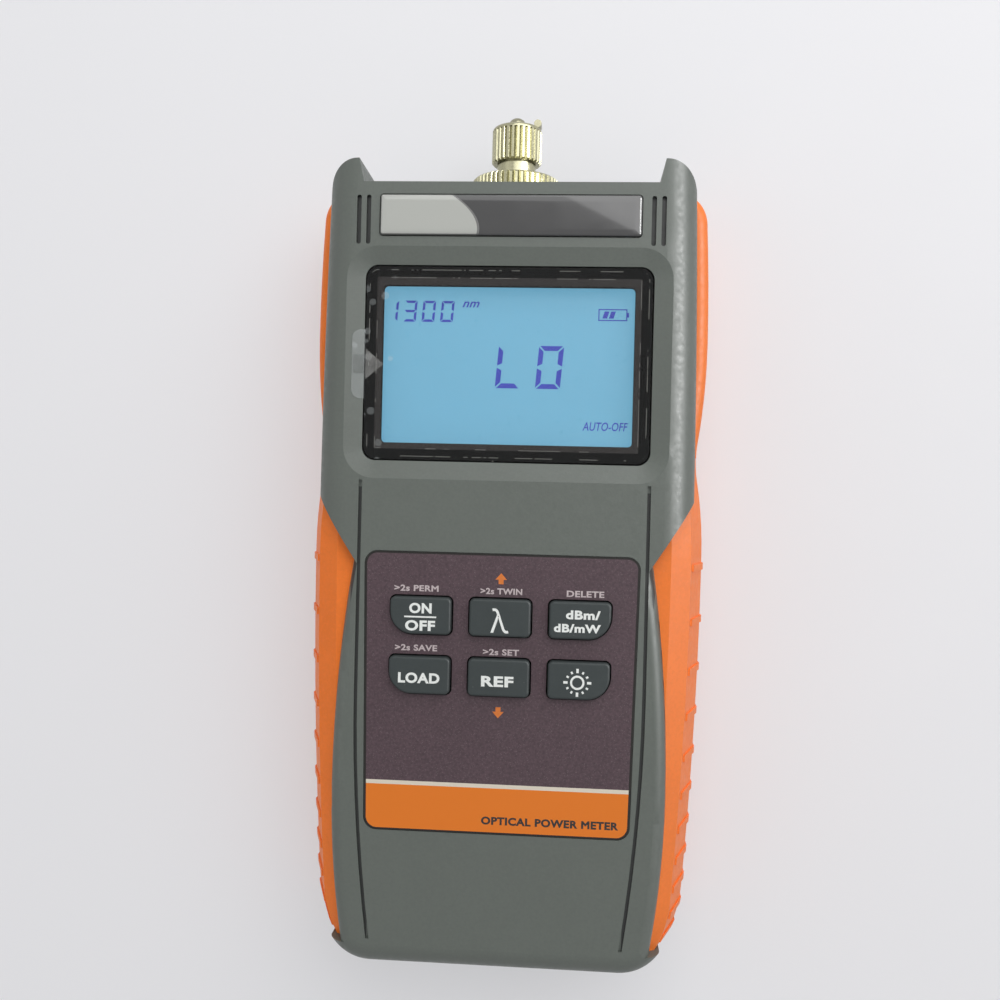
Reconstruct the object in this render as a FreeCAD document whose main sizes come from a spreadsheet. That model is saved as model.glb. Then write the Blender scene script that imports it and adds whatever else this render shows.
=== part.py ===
"""Handheld optical power meter: rounded two-part housing with rubber side grips.

The frame: X to the right, Y from the lower end towards the fibre port, Z out of
the display, back face on Z = 0.  Lengths along Y below are measured from the
lower end of the housing; every piece is then moved by the same amount, so that
the origin lies under the middle of the whole meter.
"""
import FreeCAD, Part
import math
import os
import re

import Sketcher
from FreeCAD import Vector

doc = FreeCAD.newDocument("OpticalPowerMeter")
dims = doc.addObject("Spreadsheet::Sheet", "Dims")

SIZES = {
    "housing": (
        ("body_depth", 33.0, "back face to front face"),
        ("body_top", 162.2, "lower end to the tips of the two ears"),
        ("port_floor", 157.5, "lower end to the floor between the ears"),
        ("side_wide", 38.25, "half width of the housing where it is widest"),
        ("side_wide_at", 84.0, "where the housing is widest"),
        ("side_top", 37.1, "half width at the root of the ears"),
        ("side_low", 34.1, "half width at the lower end"),
        ("corner_round", 10.0, "rounding of the lower corners"),
        ("edge_round", 6.5, "rounding of the long front edges"),
        ("back_round", 4.0, "rounding of the back edges"),
        ("end_round", 4.5, "rounding of the lower front edge"),
        ("wall", 2.2, "moulded wall"),
        ("split_z", 16.5, "parting plane of the two shells, through the port axis"),
        ("step_z", 19.0, "shelf under the front lip of the grips"),
        ("top_wall", 2.5, "thickness of the end wall that carries the port"),
    ),
    "ears": (
        ("ear_in_low", 29.5, "half gap between the ears at their floor"),
        ("ear_in_top", 30.5, "half gap between the ears at their tips"),
        ("ear_round", 6.4, "rounding of the ear tips"),
    ),
    "grips": (
        ("grip_end", 4.5, "lower end of the grips"),
        ("grip_top", 159.6, "upper end of the grips"),
        ("grip_low_w", 36.0, "half width over the grips at their lower end"),
        ("grip_foot_w", 38.5, "half width over the grips above their rounded lower end"),
        ("grip_foot_at", 14.0, "top of the rounded lower end of the grips"),
        ("grip_foot_round", 26.0, "rounding of the lower end of the grips"),
        ("grip_wide", 41.0, "half width over the grips beside the keys"),
        ("grip_wide_at", 84.0, "where the grips are widest beside the keys"),
        ("waist_w", 39.3, "half width over the waist"),
        ("waist_at", 104.0, "place of the waist"),
        ("waist_round", 30.0, "hollow of the waist below its middle"),
        ("bulge_w", 41.1, "half width over the upper bulge"),
        ("bulge_at", 128.0, "place of the upper bulge"),
        ("bulge_round", 20.0, "hollow of the waist above its middle"),
        ("grip_top_w", 40.0, "half width over the grips at their upper end"),
        ("grip_front_z", 30.9, "front of the grip lip beside the keys"),
        ("grip_ledge_z", 21.5, "front of the grips beside the display"),
        ("grip_back_z", 0.8, "back of the grips"),
        ("side_facet_w", 4.1, "width of the steep side facet"),
        ("side_facet_d", 12.5, "depth of the steep side facet"),
        ("front_facet_w", 3.3, "width of the flat front facet"),
        ("front_facet_d", 2.8, "depth of the flat front facet"),
        ("grip_corner", 7.0, "rounding of the upper grip corners"),
        ("grip_ledge_round", 2.5, "front rounding of the upper grips"),
        ("grip_back_round", 4.0, "back rounding of the grips"),
        ("tip_w", 30.0, "half gap between the pointed grip tips"),
        ("tip_at", 82.3, "place of the pointed grip tips"),
        ("lip_w", 33.6, "half gap between the grip lips where it is widest"),
        ("lip_at", 36.0, "where the gap between the lips is widest"),
        ("lip_low_w", 31.0, "half gap between the lips at the lower end"),
        ("lip_out_at", 95.0, "where the slanting lip edge meets the side"),
        ("lip_round", 2.4, "rounding of the housing along the lips"),
        ("rib_height", 0.35, "rise of the grip ribs"),
        ("rib_width", 1.4, "width of a grip rib"),
        ("rib_first", 81.5, "place of the uppermost rib"),
        ("rib_pitch", 11.0, "distance between the two uppermost ribs"),
        ("rib_shrink", 0.912, "each further distance is this share of the last"),
        ("rib_count", 11, "ribs on each grip"),
        ("rib_front_z", 27.0, "front end of the ribs"),
        ("rib_back_z", 7.0, "back end of the ribs"),
    ),
    "display": (
        ("lens_w", 57.4, "width of the display window"),
        ("lens_l", 39.0, "length of the display window"),
        ("lens_mid", 121.4, "middle of the display window"),
        ("lens_t", 1.5, "thickness of the display window"),
        ("lens_sink", 1.0, "window face below the front face"),
        ("lens_corner", 2.5, "corner rounding of the window"),
        ("dish_w", 3.6, "width of the sloping rim round the window"),
        ("fit_gap", 0.15, "clearance round inlaid pieces"),
        ("ledge_w", 2.4, "width of the ledge under the window"),
        ("ledge_t", 1.5, "thickness of the ledge under the window"),
        ("tape_t", 0.4, "thickness of the window tape"),
        ("lcd_w", 55.0, "width of the display glass"),
        ("lcd_l", 37.0, "length of the display glass"),
        ("lcd_t", 1.4, "thickness of the display glass"),
        ("frame_wall", 1.3, "wall of the display frame"),
        ("zebra_w", 46.0, "length of the rubber contact strip"),
        ("zebra_l", 2.2, "width of the rubber contact strip"),
        ("film_t", 0.12, "thickness of the protective film"),
        ("tab_low", 114.1, "lower edge of the film tab"),
        ("tab_high", 128.0, "upper edge of the film tab"),
        ("tab_w", 2.3, "length of the film tab past the window"),
    ),
    "front details": (
        ("plate_w", 52.0, "width of the nameplate"),
        ("plate_low", 146.7, "lower edge of the nameplate"),
        ("plate_l", 8.2, "length of the nameplate"),
        ("plate_t", 1.3, "thickness of the nameplate"),
        ("plate_sink", 0.8, "depth of the nameplate recess"),
        ("plate_dome", 0.45, "rounding of the nameplate edge"),
        ("slot_in", 27.9, "inner slot beside the nameplate"),
        ("slot_pitch", 1.95, "distance between the two slots"),
        ("slot_w", 0.9, "width of a slot"),
        ("slot_low", 145.0, "lower end of the slots"),
        ("slot_high", 154.8, "upper end of the slots"),
        ("slot_depth", 0.9, "depth of the slots"),
        ("groove_x", 28.4, "long groove, upper part"),
        ("groove_low_x", 24.9, "long groove, lower end"),
        ("groove_high", 97.8, "upper end of the long grooves"),
        ("groove_bend", 56.0, "where the long grooves start to bend inwards"),
        ("groove_low", 5.7, "lower end of the long grooves"),
        ("groove_w", 0.7, "width of the long grooves"),
        ("groove_depth", 0.6, "depth of the long grooves"),
        ("label_high", 83.6, "upper edge of the keypad label"),
        ("label_low", 27.9, "lower edge of the keypad label"),
        ("label_high_w", 27.4, "half width of the label at its upper edge"),
        ("label_low_w", 26.4, "half width of the label at its lower edge"),
        ("label_corner", 2.5, "corner rounding of the label"),
        ("label_t", 0.5, "thickness of the label"),
        ("label_sink", 0.4, "depth of the label recess"),
    ),
    "keys": (
        ("key_w", 12.2, "width of a key"),
        ("key_l", 7.4, "length of a key"),
        ("key_pitch_x", 15.8, "distance between key columns"),
        ("key_pitch_y", 11.85, "distance between key rows"),
        ("key_row_low", 59.2, "middle of the lower key row"),
        ("key_corner", 1.0, "small corner rounding of a key"),
        ("key_big_corner", 4.5, "large corner rounding of an outer key"),
        ("key_rise", 1.6, "key top above the front face"),
        ("key_gap", 0.3, "clearance round a key"),
        ("key_edge", 0.5, "rounding of the key's top edge"),
        ("key_travel", 1.0, "travel of a key"),
        ("mat_t", 1.5, "thickness of the keypad mat"),
        ("plunger_r", 1.5, "radius of the plunger under a key"),
        ("plunger_l", 1.0, "length of the plunger under a key"),
        ("dome_r", 3.0, "radius of a snap dome"),
        ("dome_h", 0.6, "height of a snap dome"),
        ("dome_gap", 0.1, "plunger above the dome with the key pressed"),
    ),
    "board": (
        ("board_t", 1.6, "thickness of the circuit board"),
        ("board_w", 33.0, "half width of the board under the display"),
        ("board_low_w", 26.6, "half width of the board under the keys"),
        ("board_low", 30.0, "lower end of the board"),
        ("board_neck", 98.5, "where the board gets narrower"),
        ("board_high", 148.6, "upper end of the board"),
        ("chip_w", 10.0, "side of the processor"),
        ("chip_t", 1.4, "thickness of the processor"),
        ("amp_w", 5.0, "side of the amplifier"),
        ("amp_t", 1.6, "thickness of the amplifier"),
        ("post_r", 3.0, "radius of the board posts"),
        ("post_high_x", 29.5, "upper board posts, from the middle"),
        ("post_high_y", 145.4, "upper board posts, from the lower end"),
        ("post_low_x", 23.0, "lower board posts, from the middle"),
        ("post_low_y", 34.0, "lower board posts, from the lower end"),
        ("board_screw_r", 1.0, "radius of a board screw"),
        ("board_screw_l", 4.5, "length of a board screw"),
        ("board_head_r", 1.9, "radius of a board screw head"),
        ("board_head_t", 1.2, "thickness of a board screw head"),
    ),
    "port": (
        ("nose_r", 6.0, "radius of the port's threaded nose"),
        ("nose_out", 1.9, "length of the nose outside the end wall"),
        ("flange_r", 8.5, "radius of the port's inner flange"),
        ("flange_t", 2.0, "thickness of the port's inner flange"),
        ("port_back", 6.0, "length of the port behind its flange"),
        ("port_back_r", 4.5, "radius of the port behind its flange"),
        ("hole_gap", 0.25, "clearance of the port in the end wall"),
        ("ring_r", 9.2, "radius of the knurled adapter ring"),
        ("ring_top", 162.3, "front face of the adapter ring"),
        ("ring_lip", 1.6, "thickness of the ring's front lip"),
        ("ring_gap", 0.3, "ring above the end wall"),
        ("run_gap", 0.1, "running clearance of turning pieces"),
        ("adapter_flange_r", 5.9, "radius of the adapter's flange"),
        ("neck_r", 4.1, "radius of the adapter's neck"),
        ("neck_top", 165.6, "end of the smooth neck"),
        ("thread_r", 3.9, "radius of the adapter's thread"),
        ("thread_top", 171.9, "mouth of the adapter"),
        ("ferrule_r", 1.25, "radius of the ferrule bore"),
        ("ferrule_l", 10.0, "length of the ferrule bore"),
        ("light_r", 1.0, "radius of the light passage"),
        ("can_r", 2.7, "radius of the photodiode can"),
        ("can_l", 3.6, "length of the photodiode can"),
        ("can_rim_r", 3.1, "radius of the photodiode rim"),
        ("cap_r", 5.25, "radius of the knurled dust cap"),
        ("cap_top", 173.6, "top of the dust cap"),
        ("cap_low", 165.9, "rim of the dust cap"),
        ("cap_wall", 1.3, "wall of the dust cap"),
        ("cap_round", 0.9, "rounding of the dust cap's top edge"),
        ("strip_t", 0.4, "thickness of the tether strip"),
        ("strip_w", 3.0, "width of the tether strip"),
        ("strip_out", 4.4, "reach of the tether strip"),
        ("curl_r", 0.8, "radius of its rolled end"),
        ("rivet_r", 2.0, "radius of the rivet head"),
        ("rivet_h", 1.9, "height of the rivet head"),
        ("rivet_pin_r", 0.9, "radius of the rivet's pin"),
        ("knurl_depth", 0.45, "depth of the knurling"),
        ("knurl_pitch", 1.15, "distance between knurls"),
    ),
    "power": (
        ("cell_r", 7.1, "radius of a cell"),
        ("cell_l", 49.2, "length of a cell's can"),
        ("nub_r", 2.75, "radius of a cell's positive nub"),
        ("nub_h", 1.1, "height of a cell's positive nub"),
        ("cell_pitch", 14.9, "distance between cells"),
        ("cell_gap", 0.35, "clearance round the cells"),
        ("bay_low", 10.0, "lower end of the battery bay"),
        ("contact_t", 0.4, "thickness of the contact sheet"),
        ("contact_w", 8.0, "width of a contact"),
        ("leaf_l", 3.6, "length of a negative leaf contact"),
        ("bay_wall", 1.6, "wall of the battery bay"),
        ("door_t", 2.0, "thickness of the battery door"),
        ("door_margin", 2.6, "battery door past the bay's opening"),
        ("door_gap", 0.25, "clearance round the battery door"),
        ("tongue_x", 7.45, "hook tongues of the door, from the middle"),
        ("tongue_w", 6.0, "width of a hook tongue"),
        ("tongue_t", 1.0, "thickness of a hook tongue"),
        ("tongue_l", 2.4, "reach of a hook tongue"),
        ("latch_w", 14.0, "width of the door's latch"),
        ("latch_l", 3.2, "length of the door's latch"),
    ),
    "stand": (
        ("stand_w", 40.0, "width of the stand"),
        ("stand_low", 86.0, "free end of the stand"),
        ("stand_hinge", 138.0, "hinge axis of the stand"),
        ("stand_t", 2.4, "thickness of the stand"),
        ("stand_back_z", 0.3, "stand above the back face"),
        ("stand_axis_z", 1.6, "height of the stand's hinge axis"),
        ("knuckle_r", 1.3, "radius of the stand's hinge end"),
        ("stand_gap", 0.4, "clearance round the stand"),
        ("stand_pin_r", 1.1, "radius of the stand's pins"),
        ("stand_pin_l", 2.0, "length of a stand pin"),
        ("pin_gap", 0.08, "running clearance of the stand's pins"),
        ("stand_hole_w", 17.0, "width of the opening in the stand"),
        ("stand_hole_l", 17.0, "length of the opening in the stand"),
    ),
    "fasteners": (
        ("boss_r", 2.9, "radius of the case bosses"),
        ("boss_high_x", 31.6, "upper case screws, from the middle"),
        ("boss_high_y", 152.0, "upper case screws, from the lower end"),
        ("boss_low_x", 28.4, "lower case screws, from the middle"),
        ("boss_low_y", 13.0, "lower case screws, from the lower end"),
        ("screw_r", 1.25, "radius of a case screw"),
        ("screw_l", 17.5, "length of a case screw"),
        ("screw_head_r", 2.4, "radius of a case screw head"),
        ("screw_head_t", 1.8, "thickness of a case screw head"),
        ("screw_sink", 1.2, "case screw head below the back face"),
        ("screw_gap", 0.2, "clearance round a case screw"),
        ("thread_gap", 0.05, "clearance round a screw's thread"),
    ),
}

row = 1
for group, entries in SIZES.items():
    dims.set("A%d" % row, group)
    row += 1
    for alias, number, note in entries:
        dims.set("A%d" % row, note)
        dims.set("B%d" % row, str(number))
        dims.setAlias("B%d" % row, alias)
        row += 1
doc.recompute()

ALIASES = [entry[0] for entries in SIZES.values() for entry in entries]
WORDS = re.compile(r"\b(%s)\b" % "|".join(ALIASES))

# Sizes that follow from the driving ones, written as formulas of the sheet.
FRONT_IN = "(body_depth - wall)"
LENS_LOW = "(lens_mid - lens_l / 2)"
LENS_HIGH = "(lens_mid + lens_l / 2)"
LENS_TOP = "(body_depth - lens_sink)"
LEDGE_TOP = "(body_depth - lens_sink - lens_t - tape_t)"
LEDGE_LOW = "(body_depth - lens_sink - lens_t - tape_t - ledge_t)"
LOW_SIDE = "((side_wide_at^2 + (side_wide - side_low)^2) / (2 * (side_wide - side_low)))"
CORNER_X = ("(side_wide - %s + sqrt((%s - corner_round)^2 - (side_wide_at - corner_round)^2))"
            % (LOW_SIDE, LOW_SIDE))
KEY_LOW = "(body_depth - wall - mat_t - 1.4)"
DOME_TOP = "(%s - plunger_l - key_travel - dome_gap)" % KEY_LOW
BOARD_TOP = "(%s - dome_h)" % DOME_TOP
BOARD_LOW = "(%s - board_t)" % BOARD_TOP
LCD_TOP = "(%s - 0.1)" % LEDGE_LOW
LCD_LOW = "(%s - lcd_t)" % LCD_TOP
RING_LOW = "(port_floor + ring_gap)"
NOSE_TOP = "(port_floor + nose_out)"
LIP_LOW = "(ring_top - ring_lip)"
BAY_W = "(cell_pitch + cell_r + cell_gap)"
BAY_L = "(cell_l + nub_h + contact_t + leaf_l)"
BAY_HIGH = "(bay_low + %s)" % BAY_L
CELL_Z = "(door_t + cell_gap + cell_r)"
BAY_TOP = "(%s + cell_r + cell_gap)" % CELL_Z
DOOR_LOW = "(bay_low - door_margin - door_margin)"
DOOR_HIGH = "(%s + door_margin)" % BAY_HIGH
SHIFT_Y = "-(cap_top + strip_t + rivet_h) / 2"


def bound(formula):
    """The formula with every size name pointing at the sheet."""
    return WORDS.sub(r"Dims.\1", formula)


def size(formula):
    """Present value of a formula of sheet sizes."""
    return float(dims.evalExpression(bound(formula)))


def set_size(thing, name, formula):
    thing.setExpression(name, bound(formula))


# ---------------------------------------------------------------- sketching

def sketch_on(body, name, plane="XY_Plane", offset="0"):
    """A sketch on one of the body's own origin planes, moved along its normal."""
    sketch = body.newObject("Sketcher::SketchObject", name)
    support = next(f for f in body.Origin.OriginFeatures if f.Role == plane)
    sketch.AttachmentSupport = [(support, "")]
    sketch.MapMode = "FlatFace"
    set_size(sketch, "AttachmentOffset.Base.z", offset)
    return sketch


def pin(sketch, kind, geometry, point, formula):
    """Hold one coordinate of a sketch point, or one radius, at a formula."""
    target = (geometry, size(formula)) if kind == "Radius" else (-1, 1, geometry, point, size(formula))
    number = sketch.addConstraint(Sketcher.Constraint(kind, *target))
    set_size(sketch, "Constraints[%d]" % number, formula)


def arc_through(start, end, kind, value, turn):
    """Arc from start to end that keeps its centre on a given x or y, or has a radius.

    turn is +1 for an arc that runs counter-clockwise from start to end."""
    (x0, y0), (x1, y1) = start, end
    middle_x, middle_y = (x0 + x1) / 2, (y0 + y1) / 2
    chord = math.hypot(x1 - x0, y1 - y0)
    side_x, side_y = -(y1 - y0) / chord, (x1 - x0) / chord
    if kind == "radius":
        reach = turn * math.sqrt(max(value ** 2 - chord ** 2 / 4, 0))
    elif kind == "centre_x":
        reach = (value - middle_x) / side_x
    else:
        reach = (value - middle_y) / side_y
    centre = Vector(middle_x + reach * side_x, middle_y + reach * side_y, 0)
    circle = Part.Circle(centre, Vector(0, 0, 1), math.hypot(centre.x - x0, centre.y - y0))
    first, last = (start, end) if turn > 0 else (end, start)
    angles = [math.atan2(y - centre.y, x - centre.x) for x, y in (first, last)]
    if angles[1] <= angles[0]:
        angles[1] += 2 * math.pi
    return Part.ArcOfCircle(circle, *angles)


def loop(sketch, corners, arcs=None, smooth=()):
    """Closed outline through corners given as formulas.

    arcs maps the number of a stretch to (kind, formula, turn); the corners whose
    numbers are in smooth are left to the solver, which makes them tangent."""
    arcs = arcs or {}
    points = [(size(x), size(y)) for x, y in corners]
    count = len(points)
    first = sketch.GeometryCount
    starts, ends = [], []
    for i, start in enumerate(points):
        end = points[(i + 1) % count]
        if i in arcs:
            kind, formula, turn = arcs[i]
            sketch.addGeometry(arc_through(start, end, kind, size(formula), turn), False)
            starts.append(1 if turn > 0 else 2)
            ends.append(2 if turn > 0 else 1)
        else:
            sketch.addGeometry(Part.LineSegment(Vector(*start, 0), Vector(*end, 0)), False)
            starts.append(1)
            ends.append(2)
    for i, (x, y) in enumerate(corners):
        before = (i - 1) % count
        link = "Tangent" if i in smooth else "Coincident"
        sketch.addConstraint(
            Sketcher.Constraint(link, first + before, ends[before], first + i, starts[i]))
        if i not in smooth:
            pin(sketch, "DistanceX", first + i, starts[i], x)
            pin(sketch, "DistanceY", first + i, starts[i], y)
    for i, (kind, formula, turn) in arcs.items():
        if kind == "radius":
            pin(sketch, "Radius", first + i, 0, formula)
        else:
            pin(sketch, "DistanceX" if kind == "centre_x" else "DistanceY", first + i, 3, formula)


def rounded(sketch, left, right, low, high, corner, big=None):
    """Rectangle with round corners; big names one corner that has its own radius.

    Corners are numbered 0 to 3 from the lower left, counter-clockwise."""
    radius = [corner] * 4
    if big is not None:
        radius[big[0]] = big[1]
    r0, r1, r2, r3 = ["(%s)" % r for r in radius]
    loop(sketch, [
        ("%s + %s" % (left, r0), low), ("%s - %s" % (right, r1), low),
        (right, "%s + %s" % (low, r1)), (right, "%s - %s" % (high, r2)),
        ("%s - %s" % (right, r2), high), ("%s + %s" % (left, r3), high),
        (left, "%s - %s" % (high, r3)), (left, "%s + %s" % (low, r0)),
    ], {1: ("radius", r1, 1), 3: ("radius", r2, 1), 5: ("radius", r3, 1), 7: ("radius", r0, 1)})


def box_loop(sketch, left, right, low, high):
    loop(sketch, [(left, low), (right, low), (right, high), (left, high)])


def ring_loop(sketch, x, y, radius):
    number = sketch.addGeometry(
        Part.Circle(Vector(size(x), size(y), 0), Vector(0, 0, 1), size(radius)), False)
    pin(sketch, "DistanceX", number, 3, x)
    pin(sketch, "DistanceY", number, 3, y)
    pin(sketch, "Radius", number, 0, radius)


# ----------------------------------------------------------------- features

def new_body(name):
    return doc.addObject("PartDesign::Body", name)


def pad(body, sketch, length, back=False):
    """Material from the sketch along its normal, or against it with back."""
    feature = body.newObject("PartDesign::Pad", "Pad")
    feature.Profile = sketch
    set_size(feature, "Length", length)
    feature.Reversed = back
    sketch.Visibility = False
    doc.recompute()
    return feature


def pocket(body, sketch, length, up=False):
    """Cut from the sketch against its normal, or along it with up."""
    before = body.Shape.Volume
    feature = body.newObject("PartDesign::Pocket", "Pocket")
    feature.Profile = sketch
    set_size(feature, "Length", length)
    feature.Reversed = up
    doc.recompute()
    if body.Shape.Volume > before - 0.01:
        raise RuntimeError("%s cuts nothing from %s" % (feature.Name, body.Name))
    return feature


def turned(body, outline, arcs=None):
    """Piece turned about the port axis: corners are (radius, place along Y)."""
    sketch = sketch_on(body, "Section")
    loop(sketch, outline, arcs)
    feature = body.newObject("PartDesign::Revolution", "Revolution")
    feature.Profile = sketch
    feature.ReferenceAxis = (sketch, ["V_Axis"])
    feature.Angle = 360
    doc.recompute()
    return feature


def edge_names(shape, wanted):
    return ["Edge%d" % (i + 1) for i, edge in enumerate(shape.Edges) if wanted(edge)]


def dress(body, kind, wanted, **sizes):
    """Fillet or chamfer the body's edges that the test picks."""
    doc.recompute()
    tip = body.Tip
    names = edge_names(tip.Shape, wanted)
    if not names:
        raise RuntimeError("no edge to dress on %s" % body.Name)
    feature = body.newObject("PartDesign::" + kind, kind)
    feature.Base = (tip, names)
    for name, formula in sizes.items():
        if name == "ChamferType":
            feature.ChamferType = formula
        else:
            set_size(feature, name, formula)
    doc.recompute()
    return feature


def ends(edge):
    """Lowest and highest x, y and z of an edge's end points."""
    points = [vertex.Point for vertex in edge.Vertexes]
    return [(min(values), max(values)) for values in zip(*points)]


def level(edge, z):
    """True for an edge whose ends lie in the plane at height z."""
    low, high = ends(edge)[2]
    return abs(low - z) < 0.005 and abs(high - z) < 0.005


def along_z(edge):
    (x0, x1), (y0, y1), (z0, z1) = ends(edge)
    return x1 - x0 < 0.005 and y1 - y0 < 0.005 and z1 - z0 > 0.005


SUBPARTS = []


def finish(thing, name, moved=True):
    """Label a sub-part and give it its place in the meter's frame."""
    thing.Label = name
    if moved:
        set_size(thing, "Placement.Base.y", SHIFT_Y)
    SUBPARTS.append(thing)
    return thing


def block(name, left, right, low, high, bottom, top, corner=None):
    """Plain plate or block as one padded sketch."""
    body = new_body(name)
    sketch = sketch_on(body, "Outline", offset=bottom)
    if corner:
        rounded(sketch, left, right, low, high, corner)
    else:
        box_loop(sketch, left, right, low, high)
    pad(body, sketch, "%s - (%s)" % (top, bottom))
    return body


def discs(body, places, radius, bottom, top):
    """Padded round posts at the given places."""
    sketch = sketch_on(body, "Posts", offset=bottom)
    for x, y in places:
        ring_loop(sketch, x, y, radius)
    return pad(body, sketch, "%s - (%s)" % (top, bottom))


def holes(body, places, radius, bottom, top):
    """Round holes from the level bottom up to the level top."""
    sketch = sketch_on(body, "Holes", offset=bottom)
    for x, y in places:
        ring_loop(sketch, x, y, radius)
    return pocket(body, sketch, "%s - (%s)" % (top, bottom), up=True)


# ---------------------------------------------------------- housing outline

CASE_BOSSES = [("boss_high_x", "boss_high_y"), ("-boss_high_x", "boss_high_y"),
               ("boss_low_x", "boss_low_y"), ("-boss_low_x", "boss_low_y")]
BOARD_POSTS = [("post_high_x", "post_high_y"), ("-post_high_x", "post_high_y"),
               ("post_low_x", "post_low_y"), ("-post_low_x", "post_low_y")]
RUN_PAST = 5.0


def side_at(place):
    """Half width of the housing above its widest place, on the arc of its side."""
    rise, drop = "(body_top - side_wide_at)", "(side_wide - side_top)"
    radius = "((%s^2 + %s^2) / (2 * %s))" % (rise, drop, drop)
    return "(side_wide - %s + sqrt(%s^2 - (%s - side_wide_at)^2))" % (radius, radius, place)


def mirrored_loop(sketch, half, arcs):
    """Outline symmetric about the Y axis, from its right half listed upwards."""
    count = len(half)
    other = [("-(%s)" % x, y) for x, y in reversed(half)]
    both = dict(arcs)
    for i, (kind, formula, turn) in arcs.items():
        both[2 * count - 2 - i] = (kind, formula, turn)
    loop(sketch, half + other, both)


def plan(body, bottom, top):
    """Slab with the housing's plan: bowed sides, round lower corners and two ears."""
    sketch = sketch_on(body, "Plan", offset=bottom)
    mirrored_loop(sketch, [
        ("side_low", "0"), ("side_wide", "side_wide_at"), ("side_top", "body_top"),
        ("ear_in_top", "body_top"), ("ear_in_low", "port_floor"),
    ], {0: ("centre_y", "side_wide_at", 1), 1: ("centre_y", "side_wide_at", 1)})
    pad(body, sketch, "%s - %s" % (top, bottom))
    outer, high = size("side_top"), size("body_top")
    dress(body, "Fillet", lambda e: along_z(e) and ends(e)[1][1] < 1, Radius="corner_round")
    dress(body, "Fillet", lambda e: along_z(e) and ends(e)[1][0] > high - 0.01
          and abs(abs(ends(e)[0][0]) - outer) < 0.01, Radius="ear_round")


def both_sides(body, feature):
    """Repeat the last feature on the left side."""
    mirror = body.newObject("PartDesign::Mirrored", "Mirrored")
    mirror.Originals = [feature]
    middle = next(f for f in body.Origin.OriginFeatures if f.Role == "YZ_Plane")
    mirror.MirrorPlane = (middle, [""])
    body.Tip = mirror
    doc.recompute()
    return mirror


def lip_steps(body):
    """Steps that the front lips of the grips lie in."""
    sketch = sketch_on(body, "LipStep", offset="body_depth")
    loop(sketch, [
        ("lip_low_w", "grip_end"), ("side_wide + %s" % RUN_PAST, "grip_end"),
        ("side_wide + %s" % RUN_PAST, "lip_out_at"), ("side_wide", "lip_out_at"),
        ("tip_w", "tip_at"), ("lip_w", "lip_at"),
    ], {4: ("centre_y", "lip_at", -1), 5: ("centre_y", "lip_at", -1)})
    both_sides(body, pocket(body, sketch, "body_depth - step_z"))


def rounded_long_edges(body, place="body_depth"):
    """Large rounding of the front edges, swept along the sides and over the ears."""
    path = sketch_on(body, "SidePath", offset=place)
    far = "(body_top + %s)" % RUN_PAST
    start, end = ("side_wide", "side_wide_at"), (side_at(far), far)
    points = [(size(x), size(y)) for x, y in (start, end)]
    path.addGeometry(arc_through(*points, "centre_y", size("side_wide_at"), 1), False)
    for point, (x, y) in enumerate((start, end), 1):
        pin(path, "DistanceX", 0, point, x)
        pin(path, "DistanceY", 0, point, y)
    pin(path, "DistanceY", 0, 3, "side_wide_at")
    section = sketch_on(body, "EdgeSection", "XZ_Plane", "-side_wide_at")
    loop(section, [
        ("side_wide + 1", "body_depth + 1"), ("side_wide - edge_round", "body_depth + 1"),
        ("side_wide - edge_round", "body_depth"), ("side_wide", "body_depth - edge_round"),
        ("side_wide + 1", "body_depth - edge_round"),
    ], {2: ("radius", "edge_round", -1)})
    cut = body.newObject("PartDesign::SubtractivePipe", "RoundedEdge")
    cut.Profile = section
    cut.Spine = (path, ["Edge1"])
    doc.recompute()
    both_sides(body, cut)


def rounded_lower_end(body):
    """Rounding of the lower front edge, straight across and turned round both corners."""
    low = "(body_depth - end_round)"
    across = sketch_on(body, "EndSection", "YZ_Plane", "-" + CORNER_X)
    loop(across, [
        ("-1", "body_depth + 1"), ("end_round", "body_depth + 1"), ("end_round", "body_depth"),
        ("0", low), ("-1", low),
    ], {2: ("radius", "end_round", 1)})
    pocket(body, across, "2 * " + CORNER_X, up=True)
    section = sketch_on(body, "CornerSection", "XZ_Plane", "-corner_round")
    set_size(section, "AttachmentOffset.Base.x", CORNER_X)
    inner = "(corner_round - end_round)"
    loop(section, [
        ("corner_round + 1", "body_depth + 1"), (inner, "body_depth + 1"), (inner, "body_depth"),
        ("corner_round", low), ("corner_round + 1", low),
    ], {2: ("radius", "end_round", -1)})
    corner = body.newObject("PartDesign::Groove", "Groove")
    corner.Profile = section
    corner.ReferenceAxis = (section, ["V_Axis"])
    corner.Angle = 90
    corner.Reversed = True
    doc.recompute()
    both_sides(body, corner)


def front_form(body):
    """Outside of the front shell, still solid."""
    plan(body, "split_z", "body_depth")
    lip_steps(body)
    rounded_long_edges(body)
    top, tip, low = size("body_depth"), size("tip_at"), size("grip_end")

    def lip_edge(edge):
        lowest, highest = ends(edge)[1]
        return level(edge, top) and lowest > low - 0.01 and highest < tip + 0.01 and highest > lowest + 1

    dress(body, "Fillet", lip_edge, Radius="lip_round")
    rounded_lower_end(body)


def back_form(body):
    """Outside of the back shell, still solid."""
    plan(body, "0", "split_z")
    floor = size("port_floor")
    dress(body, "Fillet", lambda e: level(e, 0) and ends(e)[1][0] < floor - 1, Radius="back_round")


# ------------------------------------------------------------------- shells

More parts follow.
